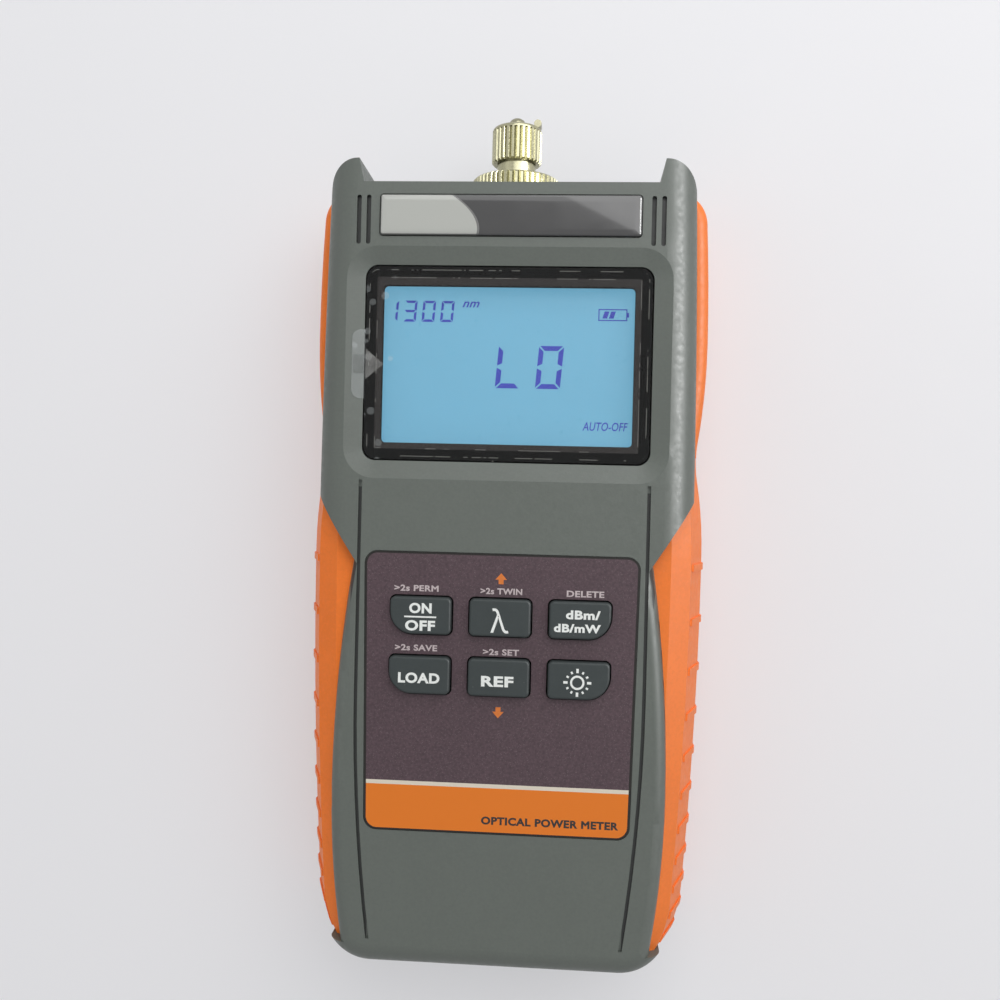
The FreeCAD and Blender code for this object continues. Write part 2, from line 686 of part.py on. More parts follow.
def inset_floor(body, bottom, top):
    """Hollow inside the full plan, one wall in from its sides."""
    sketch = sketch_on(body, "Hollow", offset=bottom)
    mirrored_loop(sketch, [
        ("side_low - corner_round", "wall"), ("side_low - wall", "corner_round"),
        ("side_wide - wall", "side_wide_at"), ("side_top - wall", "port_floor - top_wall"),
    ], {0: ("radius", "corner_round - wall", 1), 1: ("centre_y", "side_wide_at", 1),
        2: ("centre_y", "side_wide_at", 1)})
    pocket(body, sketch, "%s - (%s)" % (top, bottom), up=True)


def port_hole(body):
    """Half of the round hole for the fibre port in the end wall."""
    sketch = sketch_on(body, "PortHole", "XZ_Plane", "-port_floor")
    ring_loop(sketch, "0", "split_z", "nose_r + hole_gap")
    pocket(body, sketch, "top_wall", up=True)


def label_half_width(place):
    return ("(label_low_w + (label_high_w - label_low_w) * (%s - label_low)"
            " / (label_high - label_low))" % place)


def label_outline(sketch, grow="0"):
    """Slightly tapered label with round corners."""
    low, high = "label_low - %s" % grow, "label_high + %s" % grow
    low_arc, high_arc = "(label_low + label_corner)", "(label_high - label_corner)"
    half = [
        ("label_low_w - label_corner", low),
        ("%s + %s" % (label_half_width(low_arc), grow), low_arc),
        ("%s + %s" % (label_half_width(high_arc), grow), high_arc),
        ("label_high_w - label_corner", high),
    ]
    corner = "label_corner + %s" % grow
    mirrored_loop(sketch, half, {0: ("radius", corner, 1), 2: ("radius", corner, 1)})


def key_profile(sketch, column, row, grow="0"):
    """One key in plan: the outer columns have one large corner low on the outside."""
    x, y = "(%d * key_pitch_x)" % column, "(key_row_low + %d * key_pitch_y)" % row
    big = {-1: (0, "key_big_corner + %s" % grow), 0: None, 1: (1, "key_big_corner + %s" % grow)}
    rounded(sketch, "(%s - key_w / 2 - %s)" % (x, grow), "(%s + key_w / 2 + %s)" % (x, grow),
            "(%s - key_l / 2 - %s)" % (y, grow), "(%s + key_l / 2 + %s)" % (y, grow),
            "key_corner + %s" % grow, big[column])


def key_profiles(sketch, grow):
    for row in (0, 1):
        for column in (-1, 0, 1):
            key_profile(sketch, column, row, grow)


def around_lens(sketch, grow, corner):
    """Rounded rectangle that is larger than the window by grow on every side."""
    rounded(sketch, "(-lens_w / 2 - (%s))" % grow, "(lens_w / 2 + (%s))" % grow,
            "(%s - (%s))" % (LENS_LOW, grow), "(%s + (%s))" % (LENS_HIGH, grow), corner)


def hollow_front(body):
    """Inside of the front shell: low part, part beside the display, part under the face."""
    shelf = "(step_z - wall)"
    inset_floor(body, "split_z", shelf)
    upper = sketch_on(body, "UpperHollow", offset=shelf)
    box_loop(upper, "-(side_top - wall)", "side_top - wall",
             "lip_out_at + wall", "port_floor - top_wall")
    pocket(body, upper, "body_depth - edge_round - %s" % shelf, up=True)
    face = sketch_on(body, "FaceHollow", offset=shelf)
    mirrored_loop(face, [
        ("lip_low_w - wall", "grip_end"), ("lip_w - wall", "lip_at"), ("tip_w - wall", "tip_at"),
        ("tip_w - wall", "tip_at + wall"), ("side_top - edge_round + 1", "lip_out_at - wall"),
        ("side_top - edge_round + 1", "port_floor - top_wall"),
    ], {0: ("centre_y", "lip_at", 1), 1: ("centre_y", "lip_at", 1)})
    pocket(body, face, "%s - %s" % (FRONT_IN, shelf), up=True)


def display_window(body):
    """Frame, inlay, sloping rim and opening for the display window."""
    frame = sketch_on(body, "WindowFrame", offset=LEDGE_LOW)
    around_lens(frame, "wall", "lens_corner + wall")
    pad(body, frame, "%s - %s" % (FRONT_IN, LEDGE_LOW))
    inlay = sketch_on(body, "WindowInlay", offset="body_depth")
    around_lens(inlay, "fit_gap", "lens_corner + fit_gap")
    pocket(body, inlay, "body_depth - %s" % LEDGE_TOP)
    top, reach = size("body_depth"), size("lens_w / 2 + fit_gap") + 0.01
    low, high = size(LENS_LOW + "- fit_gap") - 0.01, size(LENS_HIGH + "+ fit_gap") + 0.01
    dress(body, "Chamfer", lambda e: level(e, top) and max(map(abs, ends(e)[0])) < reach
          and ends(e)[1][0] > low and ends(e)[1][1] < high,
          ChamferType="Two distances", Size="dish_w", Size2="lens_sink")
    view = sketch_on(body, "WindowOpening", offset=LEDGE_TOP)
    around_lens(view, "-ledge_w", "1")
    pocket(body, view, "%s - %s" % (LEDGE_TOP, LEDGE_LOW))


def front_marks(body):
    """Recesses of the nameplate and the label, corner slots and long grooves."""
    plate = sketch_on(body, "PlateRecess", offset="body_depth")
    rounded(plate, "(-plate_w / 2 - fit_gap)", "(plate_w / 2 + fit_gap)",
            "(plate_low - fit_gap)", "(plate_low + plate_l + fit_gap)", "0.8")
    pocket(body, plate, "plate_sink")
    slots = sketch_on(body, "CornerSlots", offset="body_depth")
    for side in (-1, 1):
        for number in (0, 1):
            near = "(slot_in + %d * slot_pitch)" % number
            edges = [near, "(%s + slot_w)" % near]
            left, right = edges if side > 0 else ["-" + e for e in reversed(edges)]
            rounded(slots, left, right, "slot_low", "slot_high", "slot_w / 2.2")
    pocket(body, slots, "slot_depth")
    groove = sketch_on(body, "LongGroove", offset="body_depth")
    loop(groove, [
        ("groove_low_x + groove_w", "groove_low"), ("groove_x + groove_w", "groove_bend"),
        ("groove_x + groove_w", "groove_high"), ("groove_x", "groove_high"),
        ("groove_x", "groove_bend"), ("groove_low_x", "groove_low"),
    ], {0: ("centre_y", "groove_bend", 1), 4: ("centre_y", "groove_bend", -1)})
    both_sides(body, pocket(body, groove, "groove_depth"))
    label = sketch_on(body, "LabelRecess", offset="body_depth")
    label_outline(label, "fit_gap")
    pocket(body, label, "label_sink")


def front_shell():
    body = new_body("FrontShell")
    front_form(body)
    hollow_front(body)
    discs(body, CASE_BOSSES, "boss_r", "split_z", FRONT_IN)
    discs(body, BOARD_POSTS, "post_r", BOARD_TOP, FRONT_IN)
    holes(body, CASE_BOSSES, "screw_r + thread_gap", "split_z", "split_z + 6")
    holes(body, BOARD_POSTS, "board_screw_r + thread_gap", BOARD_TOP, BOARD_TOP + "+ board_screw_l")
    port_hole(body)
    display_window(body)
    front_marks(body)
    keys = sketch_on(body, "KeyHoles", offset="body_depth")
    key_profiles(keys, "key_gap")
    pocket(body, keys, "wall")
    finish(body, "front_shell")


def door_outline(sketch, grow="0"):
    rounded(sketch, "(-%s - door_margin - %s)" % (BAY_W, grow),
            "(%s + door_margin + %s)" % (BAY_W, grow),
            "(%s - %s)" % (DOOR_LOW, grow), "(%s + %s)" % (DOOR_HIGH, grow), "2")


def stand_outline(sketch, grow="0", far="knuckle_r"):
    box_loop(sketch, "(-stand_w / 2 - %s)" % grow, "(stand_w / 2 + %s)" % grow,
             "(stand_low - %s)" % grow, "(stand_hinge + %s + %s)" % (far, grow))


# Tongues of the door: under side, upper side, and the room they swing in.
TONGUE_LOW = "(wall + door_gap)"
TONGUE_TOP = "(wall + door_gap + tongue_t)"
NOTCH_TOP = "(sqrt(tongue_l^2 + %s^2) + door_gap)" % TONGUE_TOP


def battery_bay(body):
    """Tub for three cells, open at the back under the door, and the door's recess."""
    rim = sketch_on(body, "DoorFrame", offset="wall / 2")
    door_outline(rim, "door_gap + bay_wall")
    pad(body, rim, "door_t + wall / 2")
    tub = sketch_on(body, "Tub", offset="wall / 2")
    box_loop(tub, "-(%s + bay_wall)" % BAY_W, "%s + bay_wall" % BAY_W,
             "bay_low - bay_wall", "%s + bay_wall" % BAY_HIGH)
    pad(body, tub, "%s + bay_wall - wall / 2" % BAY_TOP)
    recess = sketch_on(body, "DoorRecess")
    door_outline(recess, "door_gap")
    pocket(body, recess, "door_t", up=True)
    bay = sketch_on(body, "Bay")
    box_loop(bay, "-" + BAY_W, BAY_W, "bay_low", BAY_HIGH)
    pocket(body, bay, BAY_TOP, up=True)
    notch = sketch_on(body, "TongueNotches", offset="wall")
    for side in ("-", ""):
        middle = "(%stongue_x)" % side
        box_loop(notch, "%s - tongue_w / 2 - door_gap" % middle, "%s + tongue_w / 2 + door_gap" % middle,
                 "%s - bay_wall" % BAY_HIGH, "%s + tongue_l + door_gap + bay_wall" % DOOR_HIGH)
    pocket(body, notch, "%s - wall" % NOTCH_TOP, up=True)
    root = sketch_on(body, "TongueRoots", offset="door_t")
    for side in ("-", ""):
        middle = "(%stongue_x)" % side
        box_loop(root, "%s - tongue_w / 2 - door_gap" % middle, "%s + tongue_w / 2 + door_gap" % middle,
                 "%s - bay_wall" % BAY_HIGH, "%s + door_gap" % DOOR_HIGH)
    pocket(body, root, "wall", up=True)


def stand_recess(body):
    """Recess for the folded stand, with a hinge hole on either side."""
    floor = "(stand_axis_z + knuckle_r + stand_gap)"
    rim = sketch_on(body, "StandFrame", offset="wall / 2")
    stand_outline(rim, "(stand_gap + stand_pin_l + bay_wall)")
    pad(body, rim, "%s + wall / 2" % floor)
    recess = sketch_on(body, "StandRecess")
    stand_outline(recess, "stand_gap")
    pocket(body, recess, floor, up=True)
    reach = "(stand_w / 2 + stand_pin_l + stand_gap)"
    hinge = sketch_on(body, "HingeHoles", "YZ_Plane", reach)
    ring_loop(hinge, "stand_hinge", "stand_axis_z", "stand_pin_r + pin_gap")
    pocket(body, hinge, "2 * %s" % reach)


def back_shell():
    body = new_body("BackShell")
    back_form(body)
    inset_floor(body, "wall", "split_z")
    discs(body, CASE_BOSSES, "boss_r", "wall / 2", "split_z")
    battery_bay(body)
    stand_recess(body)
    holes(body, CASE_BOSSES, "screw_r + screw_gap", "0", "split_z")
    holes(body, CASE_BOSSES, "screw_head_r + screw_gap", "0", "screw_sink + screw_head_t")
    port_hole(body)
    finish(body, "back_shell")


# -------------------------------------------------------------------- grips

def lower_grip(body, grow, bottom, top):
    """Right grip beside the keys, with a steep side facet and a flat front facet."""
    sketch = sketch_on(body, "GripPlan", offset=bottom)
    loop(sketch, [
        ("tip_w - wall", "grip_end"), ("grip_low_w + %s" % grow, "grip_end"),
        ("grip_foot_w + %s" % grow, "grip_foot_at"), ("grip_wide + %s" % grow, "grip_wide_at"),
        ("(grip_wide + waist_w) / 2 + %s" % grow, "waist_at - 5"),
        ("waist_w + %s" % grow, "waist_at"), ("tip_w - wall", "waist_at"),
    ], {1: ("radius", "grip_foot_round", 1), 2: ("centre_y", "grip_wide_at", 1),
        3: ("centre_y", "grip_wide_at", 1), 4: ("radius", "waist_round", -1)}, smooth=(4,))
    pin(sketch, "DistanceY", 4, 3, "waist_at")
    pad(body, sketch, "%s - (%s)" % (top, bottom))
    front, back, inner = size("grip_front_z"), size(bottom), size("tip_w")

    def outer(edge, z):
        return level(edge, z) and ends(edge)[0][0] > inner and ends(edge)[1][1] > ends(edge)[1][0] + 0.1

    dress(body, "Chamfer", lambda e: outer(e, front),
          ChamferType="Two distances", Size="side_facet_d", Size2="side_facet_w")
    dress(body, "Chamfer", lambda e: outer(e, front),
          ChamferType="Two distances", Size="front_facet_d", Size2="front_facet_w")
    dress(body, "Fillet", lambda e: outer(e, back), Radius="grip_back_round")


def upper_grip(body):
    """Right grip beside the display: a rounded strip that bulges out above the waist."""
    sketch = sketch_on(body, "UpperGripPlan", offset="grip_back_z")
    loop(sketch, [
        ("side_top - 2 * wall", "waist_at"), ("waist_w", "waist_at"),
        ("(bulge_w + waist_w) / 2", "waist_at + 4"), ("bulge_w", "bulge_at"),
        ("grip_top_w", "grip_top"), ("side_top - 2 * wall", "grip_top"),
    ], {1: ("radius", "bulge_round", -1), 2: ("centre_y", "bulge_at", 1),
        3: ("centre_y", "bulge_at", 1)}, smooth=(2,))
    pin(sketch, "DistanceY", 1, 3, "waist_at")
    pad(body, sketch, "grip_ledge_z - grip_back_z")
    high, low, inner = size("grip_top"), size("waist_at"), size("side_top - 2 * wall") + 0.01
    dress(body, "Fillet", lambda e: along_z(e) and ends(e)[1][0] > high - 0.01
          and ends(e)[0][0] > inner, Radius="grip_corner")

    def outer(edge, z):
        (x0, x1), (y0, y1) = ends(edge)[:2]
        return level(edge, z) and x1 > inner and not (x0 < inner or y1 < low + 0.01)

    front, back = size("grip_ledge_z"), size("grip_back_z")
    dress(body, "Fillet", lambda e: outer(e, front), Radius="grip_ledge_round")
    dress(body, "Fillet", lambda e: outer(e, back), Radius="grip_back_round")


def rib_places():
    """Middles of the ribs: they draw closer towards the lower end."""
    place, pitch = size("rib_first"), size("rib_pitch")
    places = []
    for _ in range(round(size("rib_count"))):
        places.append(place)
        place -= pitch
        pitch *= size("rib_shrink")
    return places


def combine(kind, name, base, *tools):
    """Part boolean of one object with others."""
    result = doc.addObject("Part::" + kind, name)
    if kind == "MultiFuse":
        result.Shapes = [base, *tools]
    else:
        result.Base, result.Tool = base, tools[0]
    doc.recompute()
    return result


def grips():
    """Rubber grip moulded round each side of the housing, with cross ribs."""
    front, back = new_body("FrontForm"), new_body("BackForm")
    front_form(front)
    back_form(back)
    strip = new_body("GripBody")
    lower_grip(strip, "0", "grip_back_z", "grip_front_z")
    upper = new_body("UpperGripBody")
    upper_grip(upper)
    skin = new_body("RibSkin")
    lower_grip(skin, "rib_height", "grip_back_z", "grip_front_z")
    bars = new_body("RibBars")
    sketch = sketch_on(bars, "RibPlan", offset="rib_back_z")
    for place in rib_places():
        centre = "%.6f" % place
        box_loop(sketch, "tip_w", "grip_wide + rib_height + 1",
                 "%s - rib_width / 2" % centre, "%s + rib_width / 2" % centre)
    pad(bars, sketch, "rib_front_z - rib_back_z")
    ribs = combine("Common", "Ribs", skin, bars)
    whole = combine("MultiFuse", "GripForm", strip, upper, ribs)
    housing = combine("MultiFuse", "HousingForm", front, back)
    right = combine("Cut", "RightGrip", whole, housing)
    right.Refine = True
    finish(right, "grip_right")
    left = doc.addObject("Part::Mirroring", "LeftGrip")
    left.Source = right
    left.Normal = Vector(1, 0, 0)
    finish(left, "grip_left", moved=False)


# ---------------------------------------------------- display and nameplate

def nameplate():
    body = block("Nameplate", "-plate_w / 2", "plate_w / 2", "plate_low", "plate_low + plate_l",
                 "body_depth - plate_sink", "body_depth - plate_sink + plate_t", "0.6")
    top = size("body_depth - plate_sink + plate_t")
    dress(body, "Fillet", lambda e: level(e, top), Radius="plate_dome")
    finish(body, "nameplate")


def display_lens():
    body = new_body("DisplayLens")
    sketch = sketch_on(body, "Outline", offset="%s - lens_t" % LENS_TOP)
    around_lens(sketch, "0", "lens_corner")
    pad(body, sketch, "lens_t")
    top = size(LENS_TOP)
    dress(body, "Chamfer", lambda e: level(e, top), Size="fit_gap")
    finish(body, "display_lens")


def lens_tape():
    body = new_body("LensTape")
    sketch = sketch_on(body, "Outline", offset=LEDGE_TOP)
    around_lens(sketch, "0", "lens_corner")
    around_lens(sketch, "-ledge_w", "1")
    pad(body, sketch, "tape_t")
    finish(body, "lens_tape")


def screen_film():
    """Thin film on the window; its tab climbs the sloping rim on the left."""
    body = new_body("ScreenFilm")
    sheet = sketch_on(body, "Outline", offset=LENS_TOP)
    around_lens(sheet, "-fit_gap", "lens_corner")
    pad(body, sheet, "film_t")
    side = sketch_on(body, "TabSection", "XZ_Plane", "-tab_high")
    edge, slope = "(-lens_w / 2 - fit_gap)", "(lens_sink / dish_w)"
    near, far = "(%s + 1)" % edge, "(%s - tab_w)" % edge
    lift = "(%s + film_t / 2 + tab_w * %s)" % (LENS_TOP, slope)
    loop(side, [
        (near, LENS_TOP), (edge, "%s + film_t / 2" % LENS_TOP), (far, lift),
        (far, lift + "+ film_t"), (edge, "%s + film_t * 1.5" % LENS_TOP),
        (near, "%s + film_t" % LENS_TOP),
    ])
    pad(body, side, "tab_high - tab_low")
    finish(body, "screen_film")


def display_stack():
    """Display glass over its light guide, in a frame on the board, with its contact strip."""
    frame = new_body("LcdFrame")
    sketch = sketch_on(frame, "Outline", offset=BOARD_TOP)
    for grow, corner in (("(frame_wall + fit_gap)", "1"), ("fit_gap", "0.5")):
        rounded(sketch, "(-lcd_w / 2 - %s)" % grow, "(lcd_w / 2 + %s)" % grow,
                "(lens_mid - lcd_l / 2 - %s)" % grow, "(lens_mid + lcd_l / 2 + %s)" % grow, corner)
    pad(frame, sketch, "%s - %s" % (LCD_TOP, BOARD_TOP))
    finish(frame, "lcd_frame")
    sides = ("-lcd_w / 2", "lcd_w / 2")
    low, high = "(lens_mid - lcd_l / 2)", "(lens_mid + lcd_l / 2)"
    finish(block("LcdPanel", *sides, low, high, LCD_LOW, LCD_TOP), "lcd_panel")
    guide_low = "(%s + zebra_l + 2 * fit_gap)" % low
    finish(block("LcdBacklight", *sides, guide_low, high, BOARD_TOP, LCD_LOW), "lcd_backlight")
    finish(block("ZebraStrip", "-zebra_w / 2", "zebra_w / 2", low, "%s + zebra_l" % low,
                 BOARD_TOP, LCD_LOW), "zebra_strip")


# -------------------------------------------------------- board and keypad

def main_board():
    body = new_body("MainBoard")
    sketch = sketch_on(body, "Outline", offset=BOARD_LOW)
    mirrored_loop(sketch, [
        ("board_low_w", "board_low"), ("board_low_w", "board_neck"),
        ("board_w", "board_neck"), ("board_w", "board_high"),
    ], {})
    pad(body, sketch, "board_t")
    holes(body, BOARD_POSTS, "board_screw_r + thread_gap", BOARD_LOW, BOARD_TOP)
    finish(body, "main_board")


def board_parts():
    chip_mid = "(board_neck - chip_w)"
    finish(block("Processor", "-chip_w / 2", "chip_w / 2", "%s - chip_w / 2" % chip_mid,
                 "%s + chip_w / 2" % chip_mid, "%s - chip_t" % BOARD_LOW, BOARD_LOW, "0.5"),
           "processor_chip")
    amp_mid = "(board_high - 2 * amp_w)"
    finish(block("Amplifier", "-amp_w / 2", "amp_w / 2", "%s - amp_w / 2" % amp_mid,
                 "%s + amp_w / 2" % amp_mid, "%s - amp_t" % BOARD_LOW, BOARD_LOW, "0.3"),
           "amplifier_chip")
    screws = new_body("BoardScrews")
    head_low = "(%s - board_head_t)" % BOARD_LOW
    discs(screws, BOARD_POSTS, "board_head_r", head_low, BOARD_LOW)
    discs(screws, BOARD_POSTS, "board_screw_r", BOARD_LOW, "%s + board_screw_l - 0.3" % BOARD_TOP)
    finish(screws, "board_screws")


KEYS = {
    "key_power": (-1, 1), "key_wavelength": (0, 1), "key_unit": (1, 1),
    "key_load": (-1, 0), "key_reference": (0, 0), "key_light": (1, 0),
}


def key_middle(column, row):
    return "(%d * key_pitch_x)" % column, "(key_row_low + %d * key_pitch_y)" % row


def keys():
    """Six keys: a cap through the face and the mat, and a plunger over its snap dome."""
    top = size("body_depth + key_rise")
    for name, (column, row) in KEYS.items():
        body = new_body(name.title().replace("_", ""))
        cap = sketch_on(body, "Cap", offset=KEY_LOW)
        key_profile(cap, column, row)
        pad(body, cap, "body_depth + key_rise - %s" % KEY_LOW)
        discs(body, [key_middle(column, row)], "plunger_r", "%s - plunger_l" % KEY_LOW, KEY_LOW)
        dress(body, "Fillet", lambda e: level(e, top), Radius="key_edge")
        finish(body, name)


def keypad_mat():
    body = new_body("KeypadMat")
    sketch = sketch_on(body, "Outline", offset="%s - mat_t" % FRONT_IN)
    margin = "(key_gap + 2)"
    rounded(sketch, "(-key_pitch_x - key_w / 2 - %s)" % margin, "(key_pitch_x + key_w / 2 + %s)" % margin,
            "(key_row_low - key_l / 2 - %s)" % margin,
            "(key_row_low + key_pitch_y + key_l / 2 + %s)" % margin, "2")
    key_profiles(sketch, "key_gap")
    pad(body, sketch, "mat_t")
    finish(body, "keypad_mat")


def keypad_label():
    body = new_body("KeypadLabel")
    sketch = sketch_on(body, "Outline", offset="body_depth - label_sink")
    label_outline(sketch)
    key_profiles(sketch, "key_gap")
    pad(body, sketch, "label_t")
    finish(body, "keypad_label")


def snap_domes():
    """Shallow metal domes under the keys, turned as one spherical cap and repeated."""
    domes = []
    for name, (column, row) in KEYS.items():
        dome = doc.addObject("Part::Sphere", "Dome" + name.title().replace("_", ""))
        ball = "((dome_r^2 + dome_h^2) / (2 * dome_h))"
        set_size(dome, "Radius", ball)
        set_size(dome, "Angle1", "asin(1 - dome_h / %s)" % ball)
        x, y = key_middle(column, row)
        set_size(dome, "Placement.Base.x", x)
        set_size(dome, "Placement.Base.y", y)
        set_size(dome, "Placement.Base.z", "%s - %s" % (DOME_TOP, ball))
        domes.append(dome)
    finish(combine("MultiFuse", "SnapDomes", *domes), "snap_domes")


# ---------------------------------------------------------- port and its cap

def on_port_axis(body):
    """Turned pieces are drawn about the origin and lifted to the port's axis."""
    set_size(body, "Placement.Base.z", "split_z")
    return body


def knurl(body, radius, low, high):
    """V-shaped grooves along a round piece, repeated round its axis."""
    sketch = sketch_on(body, "Knurl", "XZ_Plane", "-(%s)" % high)
    half = "(knurl_pitch * 0.42)"
    loop(sketch, [
        ("-" + half, "%s + 0.2" % radius), ("0", "%s - knurl_depth" % radius),
        (half, "%s + 0.2" % radius),
    ])
    cut = pocket(body, sketch, "%s - (%s)" % (high, low), up=True)
    pattern = body.newObject("PartDesign::PolarPattern", "KnurlPattern")
    pattern.Originals = [cut]
    pattern.Axis = (sketch, ["N_Axis"])
    pattern.Angle = 360
    set_size(pattern, "Occurrences", "round(2 * pi * (%s) / knurl_pitch)" % radius)
    body.Tip = pattern
    doc.recompute()


def detector_port():
    body = new_body("DetectorPort")
    wall_in = "(port_floor - top_wall)"
    back = "(%s - flange_t - port_back)" % wall_in
    can_top = "(%s + can_l)" % back
    turned(body, [
        ("light_r", can_top), ("light_r", NOSE_TOP), ("nose_r", NOSE_TOP), ("nose_r", wall_in),
        ("flange_r", wall_in), ("flange_r", "%s - flange_t" % wall_in),
        ("port_back_r", "%s - flange_t" % wall_in), ("port_back_r", back),
        ("can_rim_r + run_gap", back), ("can_rim_r + run_gap", "%s + 1" % back),
        ("can_r + run_gap", "%s + 1" % back), ("can_r + run_gap", can_top),
    ])
    finish(on_port_axis(body), "detector_port")
    diode = new_body("Photodiode")
    turned(diode, [
        ("0", "%s - 0.6" % back), ("can_rim_r", "%s - 0.6" % back), ("can_rim_r", "%s + 1" % back),
        ("can_r", "%s + 1" % back), ("can_r", "%s - 0.2" % can_top), ("0", "%s - 0.2" % can_top),
    ])
    finish(on_port_axis(diode), "photodiode")


def adapter():
    """Round adapter held on the nose by its ring: flange, neck and threaded mouth."""
    body = new_body("Adapter")
    flange_top = "(%s - run_gap)" % LIP_LOW
    turned(body, [
        ("light_r", NOSE_TOP), ("adapter_flange_r", NOSE_TOP), ("adapter_flange_r", flange_top),
        ("neck_r", flange_top), ("neck_r", "neck_top"), ("thread_r", "neck_top"),
        ("thread_r", "thread_top"), ("ferrule_r", "thread_top"),
        ("ferrule_r", "thread_top - ferrule_l"), ("light_r", "thread_top - ferrule_l"),
    ])
    finish(on_port_axis(body), "adapter")
    ring = new_body("AdapterRing")
    turned(ring, [
        ("nose_r + run_gap", RING_LOW), ("ring_r - 0.4", RING_LOW), ("ring_r", RING_LOW + "+ 0.4"),
        ("ring_r", "ring_top - 0.4"), ("ring_r - 0.4", "ring_top"), ("neck_r + run_gap", "ring_top"),
        ("neck_r + run_gap", LIP_LOW), ("nose_r + run_gap", LIP_LOW),
    ])
    knurl(ring, "ring_r", RING_LOW, "ring_top")
    finish(on_port_axis(ring), "adapter_ring")


def dust_cap():
    """Knurled cap over the adapter's thread, with the riveted end of its tether."""
    body = new_body("DustCap")
    roof = "(cap_top - cap_wall)"
    turned(body, [
        ("thread_r + run_gap", "cap_low"), ("cap_r - 0.3", "cap_low"), ("cap_r", "cap_low + 0.3"),
        ("cap_r", "cap_top - cap_round"), ("cap_r - cap_round", "cap_top"),
        ("rivet_pin_r", "cap_top"), ("rivet_pin_r", roof), ("thread_r + run_gap", roof),
    ], {3: ("radius", "cap_round", 1)})
    knurl(body, "cap_r", "cap_low", "cap_top - cap_round")
    finish(on_port_axis(body), "dust_cap")
    strip = new_body("TetherStrip")
    plate = sketch_on(strip, "Plate", "XZ_Plane", "-cap_top")
    half = "(strip_w / 2)"
    loop(plate, [("0", "-" + half), ("strip_out", "-" + half), ("strip_out", half), ("0", half)],
         {3: ("centre_x", "0", 1)})
    ring_loop(plate, "0", "0", "rivet_pin_r")
    pad(strip, plate, "strip_t", back=True)
    curl = sketch_on(strip, "RolledEnd", offset="-" + half)
    ring_loop(curl, "strip_out", "cap_top + curl_r", "curl_r")
    pad(strip, curl, "strip_w")
    finish(on_port_axis(strip), "tether_strip")
    rivet = new_body("Rivet")
    low = "(cap_top + strip_t)"
    ball = "((rivet_r^2 + rivet_h^2) / (2 * rivet_h))"
    turned(rivet, [
        ("0", roof), ("rivet_pin_r", roof), ("rivet_pin_r", low), ("rivet_r", low),
        ("0", "%s + rivet_h" % low),
    ], {3: ("radius", ball, 1)})
    finish(on_port_axis(rivet), "rivet")


# -------------------------------------------------------------------- power

def cells():
    """Three round cells side by side, the middle one the other way round."""
    for number, column in enumerate((-1, 0, 1), 1):
        body = new_body("Cell%d" % number)
        start = "(bay_low + leaf_l)" if column else "(%s - leaf_l)" % BAY_HIGH
        way = "+" if column else "-"
        can, nub = "(%s %s cell_l)" % (start, way), "(%s %s (cell_l + nub_h))" % (start, way)
        turned(body, [("0", start), ("cell_r", start), ("cell_r", can), ("nub_r", can),
                      ("nub_r", nub), ("0", nub)])
        set_size(body, "Placement.Base.x", "%d * cell_pitch" % column)
        set_size(body, "Placement.Base.z", CELL_Z)
        finish(body, "battery_%d" % number)


def contacts():
    """Flat plates at the positive ends and bent leaves at the negative ends."""
    plates, leaves = new_body("PlateContacts"), new_body("LeafContacts")
    ends_of = {-1: ("%s - contact_t" % BAY_HIGH, "bay_low", 1), 0: ("bay_low", BAY_HIGH, -1),
               1: ("%s - contact_t" % BAY_HIGH, "bay_low", 1)}
    plate_plan = sketch_on(plates, "Plates", offset="%s - cell_r" % CELL_Z)
    leaf_plan = sketch_on(leaves, "Leaves", offset="%s - contact_w / 2" % CELL_Z)
    for column, (plate_low, leaf_end, way) in ends_of.items():
        middle = "(%d * cell_pitch)" % column
        left, right = "%s - contact_w / 2" % middle, "%s + contact_w / 2" % middle
        box_loop(plate_plan, left, right, plate_low, "%s + contact_t" % plate_low)
        sign = "+" if way > 0 else "-"
        near, bend = "%s %s contact_t" % (leaf_end, sign), "%s %s leaf_l" % (leaf_end, sign)
        corners = [
            (left, leaf_end), (right, leaf_end), (right, near), ("%s + contact_t" % left, near),
            ("%s + contact_t" % middle, "%s - %s" % (bend, "contact_t" if way > 0 else "(-contact_t)")),
            (right, "%s - %s" % (bend, "contact_t" if way > 0 else "(-contact_t)")),
            (right, bend), ("%s - contact_t / 2" % middle, bend), (left, near),
        ]
        loop(leaf_plan, corners)
    pad(plates, plate_plan, "cell_r * 2")
    pad(leaves, leaf_plan, "contact_w")
    finish(plates, "plate_contacts")
    finish(leaves, "leaf_contacts")


